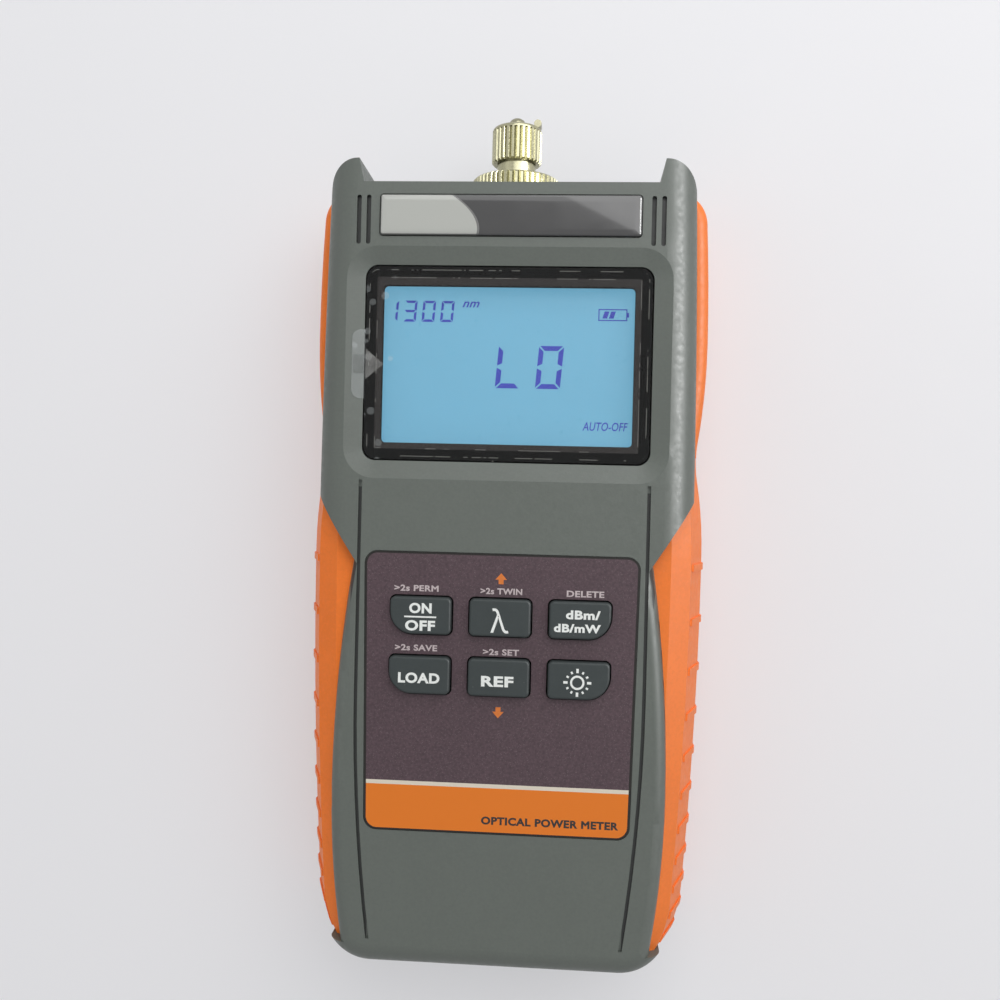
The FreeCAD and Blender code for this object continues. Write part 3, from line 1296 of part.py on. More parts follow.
def battery_door():
    """Door with two hook tongues above its hinge edge and a cut-free latch."""
    body = new_body("BatteryDoor")
    plate = sketch_on(body, "Plate")
    door_outline(plate)
    pad(body, plate, "door_t - door_gap")
    for corner_names in (("root", "%s - tongue_l" % DOOR_HIGH, DOOR_HIGH, "door_t - door_gap"),
                         ("reach", "%s - tongue_l" % DOOR_HIGH, "%s + tongue_l" % DOOR_HIGH, TONGUE_LOW)):
        part_name, low, high, bottom = corner_names
        sketch = sketch_on(body, part_name.title(), offset=bottom)
        for side in ("-", ""):
            middle = "(%stongue_x)" % side
            box_loop(sketch, "%s - tongue_w / 2" % middle, "%s + tongue_w / 2" % middle, low, high)
        top = TONGUE_LOW if part_name == "root" else TONGUE_TOP
        pad(body, sketch, "%s - (%s)" % (top, bottom))
    slot = sketch_on(body, "LatchSlot")
    half, gap = "(latch_w / 2)", "1.0"
    low, high = "(%s - 1)" % DOOR_LOW, "(%s + latch_l)" % DOOR_LOW
    loop(slot, [
        ("(-%s - %s)" % (half, gap), low), ("-" + half, low), ("-" + half, high), (half, high),
        (half, low), ("(%s + %s)" % (half, gap), low), ("(%s + %s)" % (half, gap), "%s + %s" % (high, gap)),
        ("(-%s - %s)" % (half, gap), "%s + %s" % (high, gap)),
    ])
    pocket(body, slot, "door_t / 2", up=True)
    finish(body, "battery_door")


# -------------------------------------------------------- stand and screws

def stand():
    """Fold-out stand: an open plate with a rounded hinge end and two side pins."""
    body = new_body("Stand")
    plate = sketch_on(body, "Plate", offset="stand_back_z")
    box_loop(plate, "-stand_w / 2", "stand_w / 2", "stand_low", "stand_hinge")
    middle = "((stand_low + stand_hinge) / 2)"
    rounded(plate, "(-stand_hole_w / 2)", "(stand_hole_w / 2)",
            "(%s - stand_hole_l / 2)" % middle, "(%s + stand_hole_l / 2)" % middle, "3")
    pad(body, plate, "stand_t")
    knuckle = sketch_on(body, "Knuckle", "YZ_Plane", "-stand_w / 2")
    ring_loop(knuckle, "stand_hinge", "stand_axis_z", "knuckle_r")
    pad(body, knuckle, "stand_w")
    pins = sketch_on(body, "Pins", "YZ_Plane", "-(stand_w / 2 + stand_pin_l)")
    ring_loop(pins, "stand_hinge", "stand_axis_z", "stand_pin_r")
    pad(body, pins, "stand_w + 2 * stand_pin_l")
    finish(body, "stand")


def case_screws():
    body = new_body("CaseScrews")
    under_head = "(screw_sink + screw_head_t)"
    discs(body, CASE_BOSSES, "screw_head_r", "screw_sink", under_head)
    discs(body, CASE_BOSSES, "screw_r", under_head, "%s + screw_l" % under_head)
    cross = sketch_on(body, "CrossSlots", offset="screw_sink")
    for x, y in CASE_BOSSES:
        box_loop(cross, "%s - screw_head_r * 0.7" % x, "%s + screw_head_r * 0.7" % x,
                 "%s - 0.3" % y, "%s + 0.3" % y)
    pocket(body, cross, "screw_head_t / 2", up=True)
    finish(body, "case_screws")


def check_and_write():
    """Stop on any failed object or bad shape, then write one file for each sub-part."""
    doc.recompute()
    for thing in doc.Objects:
        if "Invalid" in thing.State or "Error" in thing.State:
            raise RuntimeError("%s failed: %s" % (thing.Label, thing.State))
    for thing in SUBPARTS:
        if thing.Shape.isNull() or not thing.Shape.isValid():
            raise RuntimeError("bad shape: " + thing.Label)
    os.makedirs("parts", exist_ok=True)
    for thing in SUBPARTS:
        thing.Shape.exportStep(os.path.join("parts", thing.Label + ".step"))
        print("%-16s %2d solid(s) %9.1f mm3" % (thing.Label, len(thing.Shape.Solids), thing.Shape.Volume))


for build in (back_shell, front_shell, grips, nameplate, display_lens, lens_tape, screen_film,
              display_stack, main_board, board_parts, keys, keypad_mat, keypad_label, snap_domes,
              detector_port, adapter, dust_cap, cells, contacts, battery_door, stand, case_screws):
    build()
check_and_write()
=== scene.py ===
"""Finishes, printing and studio of a handheld optical power meter.

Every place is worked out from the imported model's boxes, in its own frame: +X to the
right as the display is read, +Y towards the fibre port, +Z out of the keypad.
"""

import math

import bmesh
import bpy
from bpy.props import FloatProperty, FloatVectorProperty, PointerProperty
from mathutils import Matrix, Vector


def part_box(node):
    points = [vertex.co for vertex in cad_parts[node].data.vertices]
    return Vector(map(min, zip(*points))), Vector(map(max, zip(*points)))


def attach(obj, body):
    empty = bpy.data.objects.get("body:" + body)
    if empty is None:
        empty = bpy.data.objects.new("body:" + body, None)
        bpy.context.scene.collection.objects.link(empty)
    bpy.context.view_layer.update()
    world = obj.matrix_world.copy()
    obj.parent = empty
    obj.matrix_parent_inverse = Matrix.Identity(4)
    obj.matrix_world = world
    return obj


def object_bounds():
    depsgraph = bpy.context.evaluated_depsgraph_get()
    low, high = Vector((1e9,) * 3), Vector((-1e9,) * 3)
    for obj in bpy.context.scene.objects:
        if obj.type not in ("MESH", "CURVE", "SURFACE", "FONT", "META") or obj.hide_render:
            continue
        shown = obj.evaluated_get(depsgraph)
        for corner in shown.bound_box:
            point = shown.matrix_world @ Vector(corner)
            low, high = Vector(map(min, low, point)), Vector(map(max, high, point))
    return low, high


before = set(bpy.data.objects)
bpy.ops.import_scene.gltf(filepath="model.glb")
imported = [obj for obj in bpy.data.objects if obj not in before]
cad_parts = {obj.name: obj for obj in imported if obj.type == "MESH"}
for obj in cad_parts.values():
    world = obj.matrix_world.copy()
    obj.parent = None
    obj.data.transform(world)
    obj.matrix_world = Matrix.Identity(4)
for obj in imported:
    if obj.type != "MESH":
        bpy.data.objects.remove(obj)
CAD_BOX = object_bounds()

bl_info = {
    "name": "Optical Power Meter",
    "version": (1, 0, 0),
    "blender": (4, 5, 0),
    "location": "View3D > Sidebar > Meter",
    "description": "Finishes and studio of a handheld optical power meter",
    "category": "Object",
}

MM = 0.001
HOUSING = "housing"
PRINT_LIFT = 0.02 * MM  # print above the face that it lies on
KEYS = ("key_power", "key_wavelength", "key_unit", "key_load", "key_reference", "key_light")


# ------------------------------------------------------------------ settings

def linear(code):
    """Scene-linear colour of a hex colour code."""
    parts = [int(code[i:i + 2], 16) / 255 for i in (0, 2, 4)]
    return tuple(p / 12.92 if p <= 0.04045 else ((p + 0.055) / 1.055) ** 2.4 for p in parts)


def colour(name, code, description):
    return FloatVectorProperty(name=name, description=description, subtype="COLOR",
                               size=3, min=0, max=1, default=linear(code))


def distance(name, millimetres, description):
    return FloatProperty(name=name, description=description, unit="LENGTH",
                         default=millimetres * MM)


class MeterFinishes(bpy.types.PropertyGroup):
    """Colours of the meter's pieces."""
    housing: colour("Housing", "5F655F", "Moulded case")
    grip: colour("Grip", "F87E2A", "Rubber grips")
    key: colour("Key", "353C3C", "Rubber keys")
    label: colour("Label", "503F45", "Keypad label")
    band: colour("Band", "E87C20", "Band at the label's foot")
    cream: colour("Cream", "E2D9C8", "Line over the band")
    ink: colour("Ink", "17130F", "Dark printing")
    legend: colour("Legend", "EEF1EE", "Legends on the keys")
    hint: colour("Hint", "C6B9BA", "Small legends on the label")
    plate: colour("Nameplate", "313130", "Nameplate under its clear dome")
    field: colour("Nameplate field", "B4B6B0", "Pale field of the nameplate")
    border: colour("Window border", "1D1713", "Print round the window")
    screen: colour("Screen", "6DADCB", "Lit display")
    digit: colour("Digit", "3844B4", "Dark parts of the display")
    metal: colour("Plating", "ACA98C", "Plated brass")
    steel: colour("Steel", "B8B8B4", "Plain steel")


class MeterPrint(bpy.types.PropertyGroup):
    """Sizes of the printing."""
    band_height: distance("Band", 9.1, "Height of the coloured band on the label")
    line_width: distance("Line", 0.8, "Width of the line over the band")
    outline: distance("Outline", 0.35, "Width of the label's dark outline")
    border_side: distance("Side border", 3.5, "Dark border at the window's sides")
    border_low: distance("Lower border", 3.5, "Dark border at the window's lower edge")
    border_high: distance("Upper border", 3.9, "Dark border at the window's upper edge")
    key_legend: distance("Key legend", 2.1, "Height of the capitals on the keys")
    hint_legend: distance("Small legend", 1.25, "Height of the small legends")


class MeterStage(bpy.types.PropertyGroup):
    """Camera, lamps and floor."""
    lens: FloatProperty(name="Lens", description="Focal length in millimetres", default=37.44)
    eye: FloatVectorProperty(name="Eye", description="Place of the camera", subtype="TRANSLATION",
                             size=3, default=(0.01361, 0.00764, 0.23902))
    tilt: FloatVectorProperty(name="Tilt", description="Turn of the camera about X, Y and Z",
                              subtype="EULER", size=3,
                              default=tuple(math.radians(a) for a in (-0.242, 3.962, 1.4146)))
    floor: colour("Floor", "EDEDF0", "Floor and backdrop")
    floor_share: FloatProperty(name="Floor share", default=0.45, min=0, max=1,
                               description="Share of the floor shown in its own colour")
    sky: FloatProperty(name="Sky", description="Strength of the even light", default=0.44)
    key_power: FloatProperty(name="Large lamp", description="Power of the large lamp", unit="POWER",
                             default=2.0)
    fill_power: FloatProperty(name="Side lamp", description="Power of the side lamp", unit="POWER",
                              default=0.2)
    gloss_power: FloatProperty(name="Gloss lamp", description="Power of the lamp seen only in gloss",
                               unit="POWER", default=5.0)


# ----------------------------------------------------------------- materials

# The Mix node's colour sockets share their names with others, so they go by number.
MIX_UNDER, MIX_OVER, MIX_RESULT = 6, 7, 2


class Recipe:
    """A node material under construction; nodes read the row frame's coordinates."""

    def __init__(self, name, base, roughness, metallic=0.0, **sockets):
        self.material = bpy.data.materials.new(name)
        self.material.use_nodes = True
        self.tree = self.material.node_tree
        self.shader = next(n for n in self.tree.nodes if n.type == "BSDF_PRINCIPLED")
        self.shader.inputs["Metallic"].default_value = metallic
        for label, value in sockets.items():
            self.shader.inputs[label.replace("_", " ")].default_value = value
        self.base = (*base, 1)
        self.roughness = roughness
        self.place = self.node("ShaderNodeTexCoord").outputs["Object"]
        axes = self.node("ShaderNodeSeparateXYZ", Vector=self.place)
        self.x, self.y, self.z = axes.outputs[:3]
        self.colour = self.base
        self.bumps = []

    def node(self, kind, **inputs):
        made = self.tree.nodes.new(kind)
        for label, value in inputs.items():
            self.feed(made.inputs[label.replace("_", " ")], value)
        return made

    def feed(self, socket, value):
        if isinstance(value, bpy.types.NodeSocket):
            self.tree.links.new(value, socket)
        else:
            socket.default_value = value

    def math(self, operation, *values):
        made = self.tree.nodes.new("ShaderNodeMath")
        made.operation = operation
        for socket, value in zip(made.inputs, values):
            self.feed(socket, value)
        return made.outputs[0]

    def noise(self, scale, detail=3.0, stretch=(1, 1, 1), roughness=0.55):
        """Noise with a grain of 1 / scale metres, drawn out along an axis whose stretch is below 1."""
        mapping = self.node("ShaderNodeMapping", Vector=self.place)
        mapping.inputs["Scale"].default_value = stretch
        made = self.node("ShaderNodeTexNoise", Vector=mapping.outputs[0], Scale=scale, Detail=detail,
                         Roughness=roughness)
        return made.outputs[0]

    def specks(self, scale, radius):
        """1 inside small scattered dots, 0 elsewhere."""
        cells = self.node("ShaderNodeTexVoronoi", Vector=self.place, Scale=scale)
        return self.math("LESS_THAN", cells.outputs["Distance"], radius)

    def within(self, value, low, high):
        """1 where the value lies between two limits."""
        return self.math("MULTIPLY", self.math("GREATER_THAN", value, low),
                         self.math("LESS_THAN", value, high))

    def ramp(self, value, low, high, from_value=0.0, to_value=1.0):
        made = self.node("ShaderNodeMapRange", Value=value)
        for label, number in (("From Min", low), ("From Max", high), ("To Min", from_value),
                              ("To Max", to_value)):
            made.inputs[label].default_value = number
        return made.outputs[0]

    def paint(self, mask, tint, share=1.0):
        """Lay a colour over what is there, where the mask is 1."""
        made = self.tree.nodes.new("ShaderNodeMix")
        made.data_type = "RGBA"
        self.feed(made.inputs["Factor"], self.math("MULTIPLY", mask, share))
        self.feed(made.inputs[MIX_UNDER], self.colour)
        over = tint if isinstance(tint, bpy.types.NodeSocket) else (*tint[:3], 1)
        self.feed(made.inputs[MIX_OVER], over)
        self.colour = made.outputs[MIX_RESULT]
        return self

    def mottle(self, scale, spread, detail=3.0, stretch=(1, 1, 1)):
        """Lighter and darker patches of the base colour."""
        light = tuple(min(1, c * (1 + spread)) for c in self.base[:3])
        dark = tuple(c * (1 - spread) for c in self.base[:3])
        patches = self.noise(scale, detail, stretch)
        self.paint(self.ramp(patches, 0.5, 0.75), light)
        return self.paint(self.ramp(patches, 0.5, 0.25), dark)

    def bump(self, height, depth, strength=1.0):
        made = self.node("ShaderNodeBump", Height=height, Strength=strength)
        made.inputs["Distance"].default_value = depth
        if self.bumps:
            self.tree.links.new(self.bumps[-1], made.inputs["Normal"])
        self.bumps.append(made.outputs[0])
        return self

    def finish(self, rough_scale=900, rough_spread=0.08):
        """Connect colour, relief and a slightly uneven roughness."""
        patches = self.noise(rough_scale, 2)
        low, high = self.roughness - rough_spread, self.roughness + rough_spread
        self.feed(self.shader.inputs["Roughness"], self.ramp(patches, 0.3, 0.7, low, high))
        self.feed(self.shader.inputs["Base Color"], self.colour)
        if self.bumps:
            self.tree.links.new(self.bumps[-1], self.shader.inputs["Normal"])
        return self.material

    def rounded_distance(self, across, along, half_wide, half_long, corner):
        """Distance outside a rounded rectangle, from coordinates about its middle."""
        out_x = self.math("SUBTRACT", self.math("ABSOLUTE", across),
                          self.math("SUBTRACT", half_wide, corner))
        out_y = self.math("SUBTRACT", self.math("ABSOLUTE", along),
                          self.math("SUBTRACT", half_long, corner))
        far_x, far_y = self.math("MAXIMUM", out_x, 0.0), self.math("MAXIMUM", out_y, 0.0)
        squares = self.math("ADD", self.math("POWER", far_x, 2.0), self.math("POWER", far_y, 2.0))
        inside = self.math("MINIMUM", self.math("MAXIMUM", out_x, out_y), 0.0)
        return self.math("SUBTRACT", self.math("ADD", self.math("SQRT", squares), inside), corner)


# Painted shade: the floors of the slots and long lines of the case are darkened as if in shadow.
GROOVE_SHADE = (0.006, 0.006, 0.006)
GROOVE_DEPTHS = (1.2 * MM, 0.45 * MM)  # foot and mouth of the grooves, below the highest face
SLOT_SIDES = (27.0 * MM, 31.0 * MM)  # the slots beside the nameplate, from the middle
SLOT_PAST = 1.5 * MM  # slots past the nameplate's edges
LINE_IN = 25.5 * MM  # inner limit of the long lines, from the middle
LINE_OUT = (27.0 * MM, 30.6 * MM)  # their outer limit at the lower end and higher up
LINE_OUT_RISE = 80 * MM  # height over which that limit moves out
LINE_FOOT, LINE_HEAD = 3.6 * MM, 5.5 * MM  # ends, from the case's lower end and from the window


def moulded(name, base, roughness=0.5, grain=2600, depth=0.02, grooves=False):
    """Spark-eroded moulded plastic: fine even grain and faint flow marks, with painted shade in the
    grooves when asked.
    """
    recipe = Recipe(name, base, roughness)
    recipe.mottle(60, 0.035).mottle(1800, 0.05, 2)
    if grooves:
        # painted shade on the floors of the grooves
        recipe.paint(groove_shade_mask(recipe), GROOVE_SHADE, 0.85)
    recipe.bump(recipe.noise(grain, 2), depth * MM, 0.55)
    recipe.bump(recipe.noise(45, 1), 0.03 * MM, 0.12)
    return recipe.finish()


def groove_shade_mask(recipe):
    """1 in the slots beside the nameplate and the two long lines, where painted shade darkens their
    floors.
    """
    low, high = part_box("front_shell")
    plate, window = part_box("nameplate"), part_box("display_lens")
    across = recipe.math("ABSOLUTE", recipe.x)
    foot, mouth = GROOVE_DEPTHS
    deep = recipe.within(recipe.z, high.z - foot, high.z - mouth)
    beside_plate = recipe.within(recipe.y, plate[0].y - SLOT_PAST, plate[1].y + SLOT_PAST)
    slots = recipe.math("MULTIPLY", beside_plate, recipe.within(across, *SLOT_SIDES))
    limit = recipe.ramp(recipe.y, low.y, low.y + LINE_OUT_RISE, *LINE_OUT)
    below_window = recipe.within(recipe.y, low.y + LINE_FOOT, window[0].y - LINE_HEAD)
    lines = recipe.math("MULTIPLY", below_window, recipe.within(across, LINE_IN, limit))
    return recipe.math("MULTIPLY", deep, recipe.math("MAXIMUM", slots, lines))


def rubber(name, base, roughness=0.52, grain=2100):
    """Satin moulded rubber with a soft grain and scattered dust."""
    recipe = Recipe(name, base, roughness, Specular_IOR_Level=0.35)
    recipe.mottle(90, 0.05).mottle(1500, 0.04, 2)
    recipe.paint(recipe.specks(420, 0.06), tuple(min(1, c + 0.12) for c in base), 0.25)
    recipe.bump(recipe.noise(grain, 3), 0.02 * MM, 0.5)
    return recipe.finish(700, 0.07)


def metal(name, base, roughness=0.24, stretch=(1, 0.06, 1)):
    """Turned or rolled metal: fine lines along the stretch and dull patches."""
    recipe = Recipe(name, base, roughness, 1.0)
    recipe.mottle(300, 0.07).mottle(2500, 0.05, 2, stretch)
    recipe.bump(recipe.noise(5200, 2, stretch), 0.006 * MM, 0.5)
    return recipe.finish(1500, 0.09)


def plain(name, base, roughness=0.45, grain=1500):
    """Small inner pieces: cast or laminated, slightly uneven."""
    recipe = Recipe(name, base, roughness)
    recipe.mottle(400, 0.08)
    recipe.bump(recipe.noise(grain, 2), 0.01 * MM, 0.4)
    return recipe.finish()


def ink(name, base, roughness=0.5):
    """Screen-printed ink, slightly grainy."""
    recipe = Recipe(name, base, roughness)
    recipe.mottle(2200, 0.06, 2)
    recipe.bump(recipe.noise(4200, 2), 0.006 * MM, 0.4)
    return recipe.finish()


LABEL_SPARKLE = (0.34, 0.29, 0.30)
LABEL_CORNER = 2.5 * MM
LABEL_TAPER = 1.0 * MM  # how much narrower each side is at the foot


def label_film(finishes, sizes):
    """Printed film: sparkling dark field, coloured foot under a pale line, dark outline."""
    low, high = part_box("keypad_label")
    recipe = Recipe("keypad_label_film", finishes.label, 0.45, Specular_IOR_Level=0.35)
    recipe.mottle(70, 0.07).mottle(2000, 0.3, 2)
    recipe.paint(recipe.specks(2600, 0.2), LABEL_SPARKLE, 0.22)
    height = recipe.math("SUBTRACT", recipe.y, low.y)
    edge = sizes.band_height + sizes.line_width
    recipe.paint(recipe.math("LESS_THAN", height, edge), finishes.cream)
    recipe.paint(recipe.math("LESS_THAN", height, sizes.band_height), finishes.band)
    share = recipe.math("DIVIDE", height, high.y - low.y)
    half_wide = recipe.math("ADD", recipe.math("MULTIPLY", share, LABEL_TAPER), high.x - LABEL_TAPER)
    middle = recipe.math("SUBTRACT", recipe.y, (low.y + high.y) / 2)
    outside = recipe.rounded_distance(recipe.x, middle, half_wide, (high.y - low.y) / 2,
                                      LABEL_CORNER)
    recipe.paint(recipe.math("GREATER_THAN", outside, -sizes.outline), finishes.ink)
    recipe.bump(recipe.noise(2600, 2), 0.012 * MM, 0.5)
    return recipe.finish(1100, 0.06)


WINDOW_CORNER, OPENING_CORNER = 2.5 * MM, 0.9 * MM
RIM_SHADE, RIM_GLINT = (0.004, 0.004, 0.004), (0.2, 0.2, 0.185)
# Painted highlights: broken pale lines along the rim stand in for glints off its polished bevel.
RIM_GLINTS = ((-2.42 * MM, -2.32 * MM), (-0.9 * MM, -0.75 * MM))  # broken pale lines along the rim
WINDOW_DUST = (0.35, 0.34, 0.32)


def window_plate(finishes, sizes):
    """Clear window with a dark printed border and a bevelled, polished rim, with painted highlights
    along it.
    """
    low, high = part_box("display_lens")
    recipe = Recipe("display_window", finishes.border, 0.1, Specular_IOR_Level=0.5)
    half_wide = (high.x - low.x) / 2 - sizes.border_side
    half_long = (high.y - low.y - sizes.border_low - sizes.border_high) / 2
    middle = (low.y + high.y + sizes.border_low - sizes.border_high) / 2
    along = recipe.math("SUBTRACT", recipe.y, middle)
    outside = recipe.rounded_distance(recipe.x, along, half_wide, half_long, OPENING_CORNER)
    rim = recipe.rounded_distance(recipe.x, recipe.math("SUBTRACT", recipe.y, (low.y + high.y) / 2),
                                  (high.x - low.x) / 2, (high.y - low.y) / 2, WINDOW_CORNER)
    recipe.paint(recipe.ramp(rim, -2.3 * MM, -2.2 * MM), RIM_SHADE, 0.9)
    # painted highlights along the rim, broken by noise
    for near, far in RIM_GLINTS:
        line = recipe.within(rim, near, far)
        broken = recipe.math("GREATER_THAN", recipe.noise(240, 3), 0.52)
        recipe.paint(recipe.math("MULTIPLY", line, broken), RIM_GLINT, 0.8)
    recipe.feed(recipe.shader.inputs["Specular IOR Level"],
                recipe.ramp(rim, -2.35 * MM, -2.2 * MM, 0.45, 0.06))
    recipe.paint(recipe.specks(160, 0.03), WINDOW_DUST, 0.5)
    recipe.feed(recipe.shader.inputs["Alpha"], recipe.ramp(outside, -0.03 * MM, 0.03 * MM, 0.07, 1.0))
    recipe.bump(recipe.noise(35, 1), 0.05 * MM, 0.2)
    return recipe.finish(120, 0.03)


def film_tab():
    """Corners of the box round the film's tab, which sticks out left of the window."""
    piece = bpy.data.objects["screen_film"]
    places = [piece.matrix_world @ vertex.co for vertex in piece.data.vertices]
    places = [place for place in places if place.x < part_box("display_lens")[0].x - 0.1 * MM]
    return tuple(Vector([pick(place[i] for place in places) for i in range(3)])
                 for pick in (min, max))


FILM_REACH = 6 * MM  # bubbles reach this far in from the window's edge
TAB_HALF, TAB_CORNER = 6 * MM, 1.8 * MM


def film():
    """Protective film: almost clear, with trapped air and a wavy surface."""
    recipe = Recipe("protective_film", (0.62, 0.66, 0.66), 0.16)
    recipe.mottle(200, 0.1)
    low, high = film_tab()
    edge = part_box("display_lens")[0].x
    tab = recipe.math("LESS_THAN", recipe.x, edge)
    near = recipe.math("LESS_THAN", recipe.x, edge + FILM_REACH)
    bubbles = recipe.math("MULTIPLY", recipe.math("MULTIPLY", recipe.specks(260, 0.2), near), 0.14)
    clear = recipe.math("ADD", recipe.math("MULTIPLY", tab, 0.14), 0.02)
    along = recipe.math("SUBTRACT", recipe.y, (low.y + high.y) / 2)
    across = recipe.math("SUBTRACT", recipe.x, low.x + TAB_HALF)
    cut = recipe.rounded_distance(across, along, TAB_HALF, (high.y - low.y) / 2, TAB_CORNER)
    kept = recipe.math("MAXIMUM", recipe.math("SUBTRACT", 1.0, tab),
                       recipe.math("LESS_THAN", cut, 0.0))
    alpha = recipe.math("MULTIPLY", recipe.math("ADD", clear, bubbles), kept)
    recipe.feed(recipe.shader.inputs["Alpha"], alpha)
    recipe.bump(recipe.noise(60, 2), 0.2 * MM, 0.3)
    return recipe.finish(300, 0.05)


SCREEN_GLOW, DIGIT_GLOW = 0.95, 0.35
SCREEN_UNLIT = (0.02, 0.03, 0.04)  # dark base under the glow, so lamps add little to it


def lit_screen(finishes):
    """Lit display glass: even blue, a little brighter away from its edges."""
    low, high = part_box("lcd_panel")
    recipe = Recipe("lit_display", finishes.screen, 0.35)
    middle = recipe.math("SUBTRACT", recipe.y, (low.y + high.y) / 2)
    edge = recipe.rounded_distance(recipe.x, middle, high.x, (high.y - low.y) / 2, 3 * MM)
    recipe.mottle(30, 0.03)
    recipe.paint(recipe.ramp(edge, -9 * MM, -1 * MM),
                 tuple(c * 0.93 for c in finishes.screen), 0.6)
    recipe.paint(recipe.noise(3500, 2), tuple(c * 0.9 for c in finishes.screen), 0.35)
    recipe.feed(recipe.shader.inputs["Emission Color"], recipe.colour)
    recipe.shader.inputs["Emission Strength"].default_value = SCREEN_GLOW
    recipe.paint(1.0, SCREEN_UNLIT, 0.7)
    recipe.bump(recipe.noise(3000, 2), 0.004 * MM, 0.3)
    return recipe.finish()


FIELD_END = -6.5 * MM  # right end of the nameplate's pale field, from the middle
FIELD_BOW = 113.0  # bow of that end: the height squared times this, in metres
FIELD_BOW_FOOT = 1.2 * MM  # where the bow starts, above the plate's lower edge
FRINGE_WIDTH, FRINGE = 0.45 * MM, (0.16, 0.16, 0.155)
PLATE_CORNER, PLATE_EDGE = 0.6 * MM, (0.01, 0.01, 0.01)


def domed_plate(finishes):
    """Nameplate under a clear resin dome: dark field, pale field with a bowed end."""
    low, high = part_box("nameplate")
    recipe = Recipe("domed_nameplate", finishes.plate, 0.12, Coat_Weight=1.0, Coat_Roughness=0.03)
    recipe.mottle(160, 0.08)
    above = recipe.math("SUBTRACT", recipe.y, low.y + FIELD_BOW_FOOT)
    square = recipe.math("POWER", recipe.math("ABSOLUTE", above), 2.0)
    bow = recipe.math("MULTIPLY", square, FIELD_BOW)
    end = recipe.math("SUBTRACT", FIELD_END, bow)
    pale = recipe.math("LESS_THAN", recipe.x, end)
    fringe = recipe.math("LESS_THAN", recipe.x, recipe.math("ADD", end, FRINGE_WIDTH))
    recipe.paint(fringe, FRINGE)
    recipe.paint(pale, finishes.field)
    rim = recipe.rounded_distance(recipe.x, recipe.math("SUBTRACT", recipe.y, (low.y + high.y) / 2),
                                  high.x, (high.y - low.y) / 2, PLATE_CORNER)
    recipe.paint(recipe.ramp(rim, -0.35 * MM, -0.2 * MM), PLATE_EDGE, 0.85)
    fall = recipe.math("POWER", recipe.ramp(rim, -1.5 * MM, -0.1 * MM), 2.5)
    recipe.bump(recipe.math("SUBTRACT", 1.0, fall), 0.3 * MM, 0.7)
    recipe.bump(recipe.noise(70, 2), 0.15 * MM, 0.25)
    return recipe.finish(200, 0.03)


WEAVE = 9000.0  # angle per metre, so a thread is about 0.35 mm wide


def board_laminate():
    """Green board: woven glass under solder mask, with pale pads."""
    recipe = Recipe("board_laminate", linear("1F5A34"), 0.32)
    weave = recipe.math("MULTIPLY", recipe.math("SINE", recipe.math("MULTIPLY", recipe.x, WEAVE)),
                        recipe.math("SINE", recipe.math("MULTIPLY", recipe.y, WEAVE)))
    recipe.mottle(240, 0.12)
    recipe.paint(recipe.specks(330, 0.12), linear("C9C3AE"), 0.8)
    recipe.bump(weave, 0.01 * MM, 0.4)
    return recipe.finish()


def cell_wrap():
    """Printed sleeve of a cell: dark body and a bright band at the positive end."""
    low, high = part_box("battery_1")
    recipe = Recipe("cell_wrap", linear("2A2D31"), 0.28)
    recipe.mottle(150, 0.1)
    share = recipe.ramp(recipe.y, low.y, high.y)
    recipe.paint(recipe.math("GREATER_THAN", share, 0.8), linear("C98B4A"))
    recipe.paint(recipe.math("GREATER_THAN", share, 0.972), linear("B8B8B4"))
    recipe.bump(recipe.noise(900, 2), 0.01 * MM, 0.3)
    return recipe.finish()


def dress(material, *nodes):
    """Give CAD nodes a material in every slot."""
    for node in nodes:
        piece = bpy.data.objects[node]
        if not piece.material_slots:
            piece.data.materials.append(material)
        for place in piece.material_slots:
            place.material = material


# ------------------------------------------------------------------ printing

def middle_of(node):
    low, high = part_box(node)
    return (low + high) / 2


def printed(name, mesh, material, body):
    """Object of a flat print in one material, riding on a body."""
    mesh.materials.clear()
    mesh.materials.append(material)
    piece = bpy.data.objects.new(name, mesh)
    bpy.context.collection.objects.link(piece)
    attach(piece, body)


def flat_piece(name, polygons, height, material, body=HOUSING):
    """Thin print of polygons, each a list of (x, y) at the height, or of (x, y, z)."""
    mesh = bpy.data.meshes.new(name)
    form = bmesh.new()
    for polygon in polygons:
        form.faces.new([form.verts.new((*spot, height)[:3]) for spot in polygon])
    bmesh.ops.triangulate(form, faces=form.faces)
    bmesh.ops.recalc_face_normals(form, faces=form.faces)
    for face in form.faces:
        if face.normal.z < 0:
            face.normal_flip()
    form.to_mesh(mesh)
    form.free()
    printed(name, mesh, material, body)


def flatten(mesh, centre, size, height):
    """Fit a mesh into a box of (width, height) and press it flat, keeping what faces up."""
    form = bmesh.new()
    form.from_mesh(mesh)
    form.normal_update()
    under = [face for face in form.faces if face.normal.z < -0.01]
    bmesh.ops.delete(form, geom=under, context="FACES")
    low = [min(v.co[i] for v in form.verts) for i in (0, 1)]
    high = [max(v.co[i] for v in form.verts) for i in (0, 1)]
    for vertex in form.verts:
        across, up = [(vertex.co[i] - low[i]) / (high[i] - low[i]) - 0.5 for i in (0, 1)]
        vertex.co = (centre[0] + across * size[0], centre[1] + up * size[1], height)
    form.to_mesh(mesh)
    form.free()


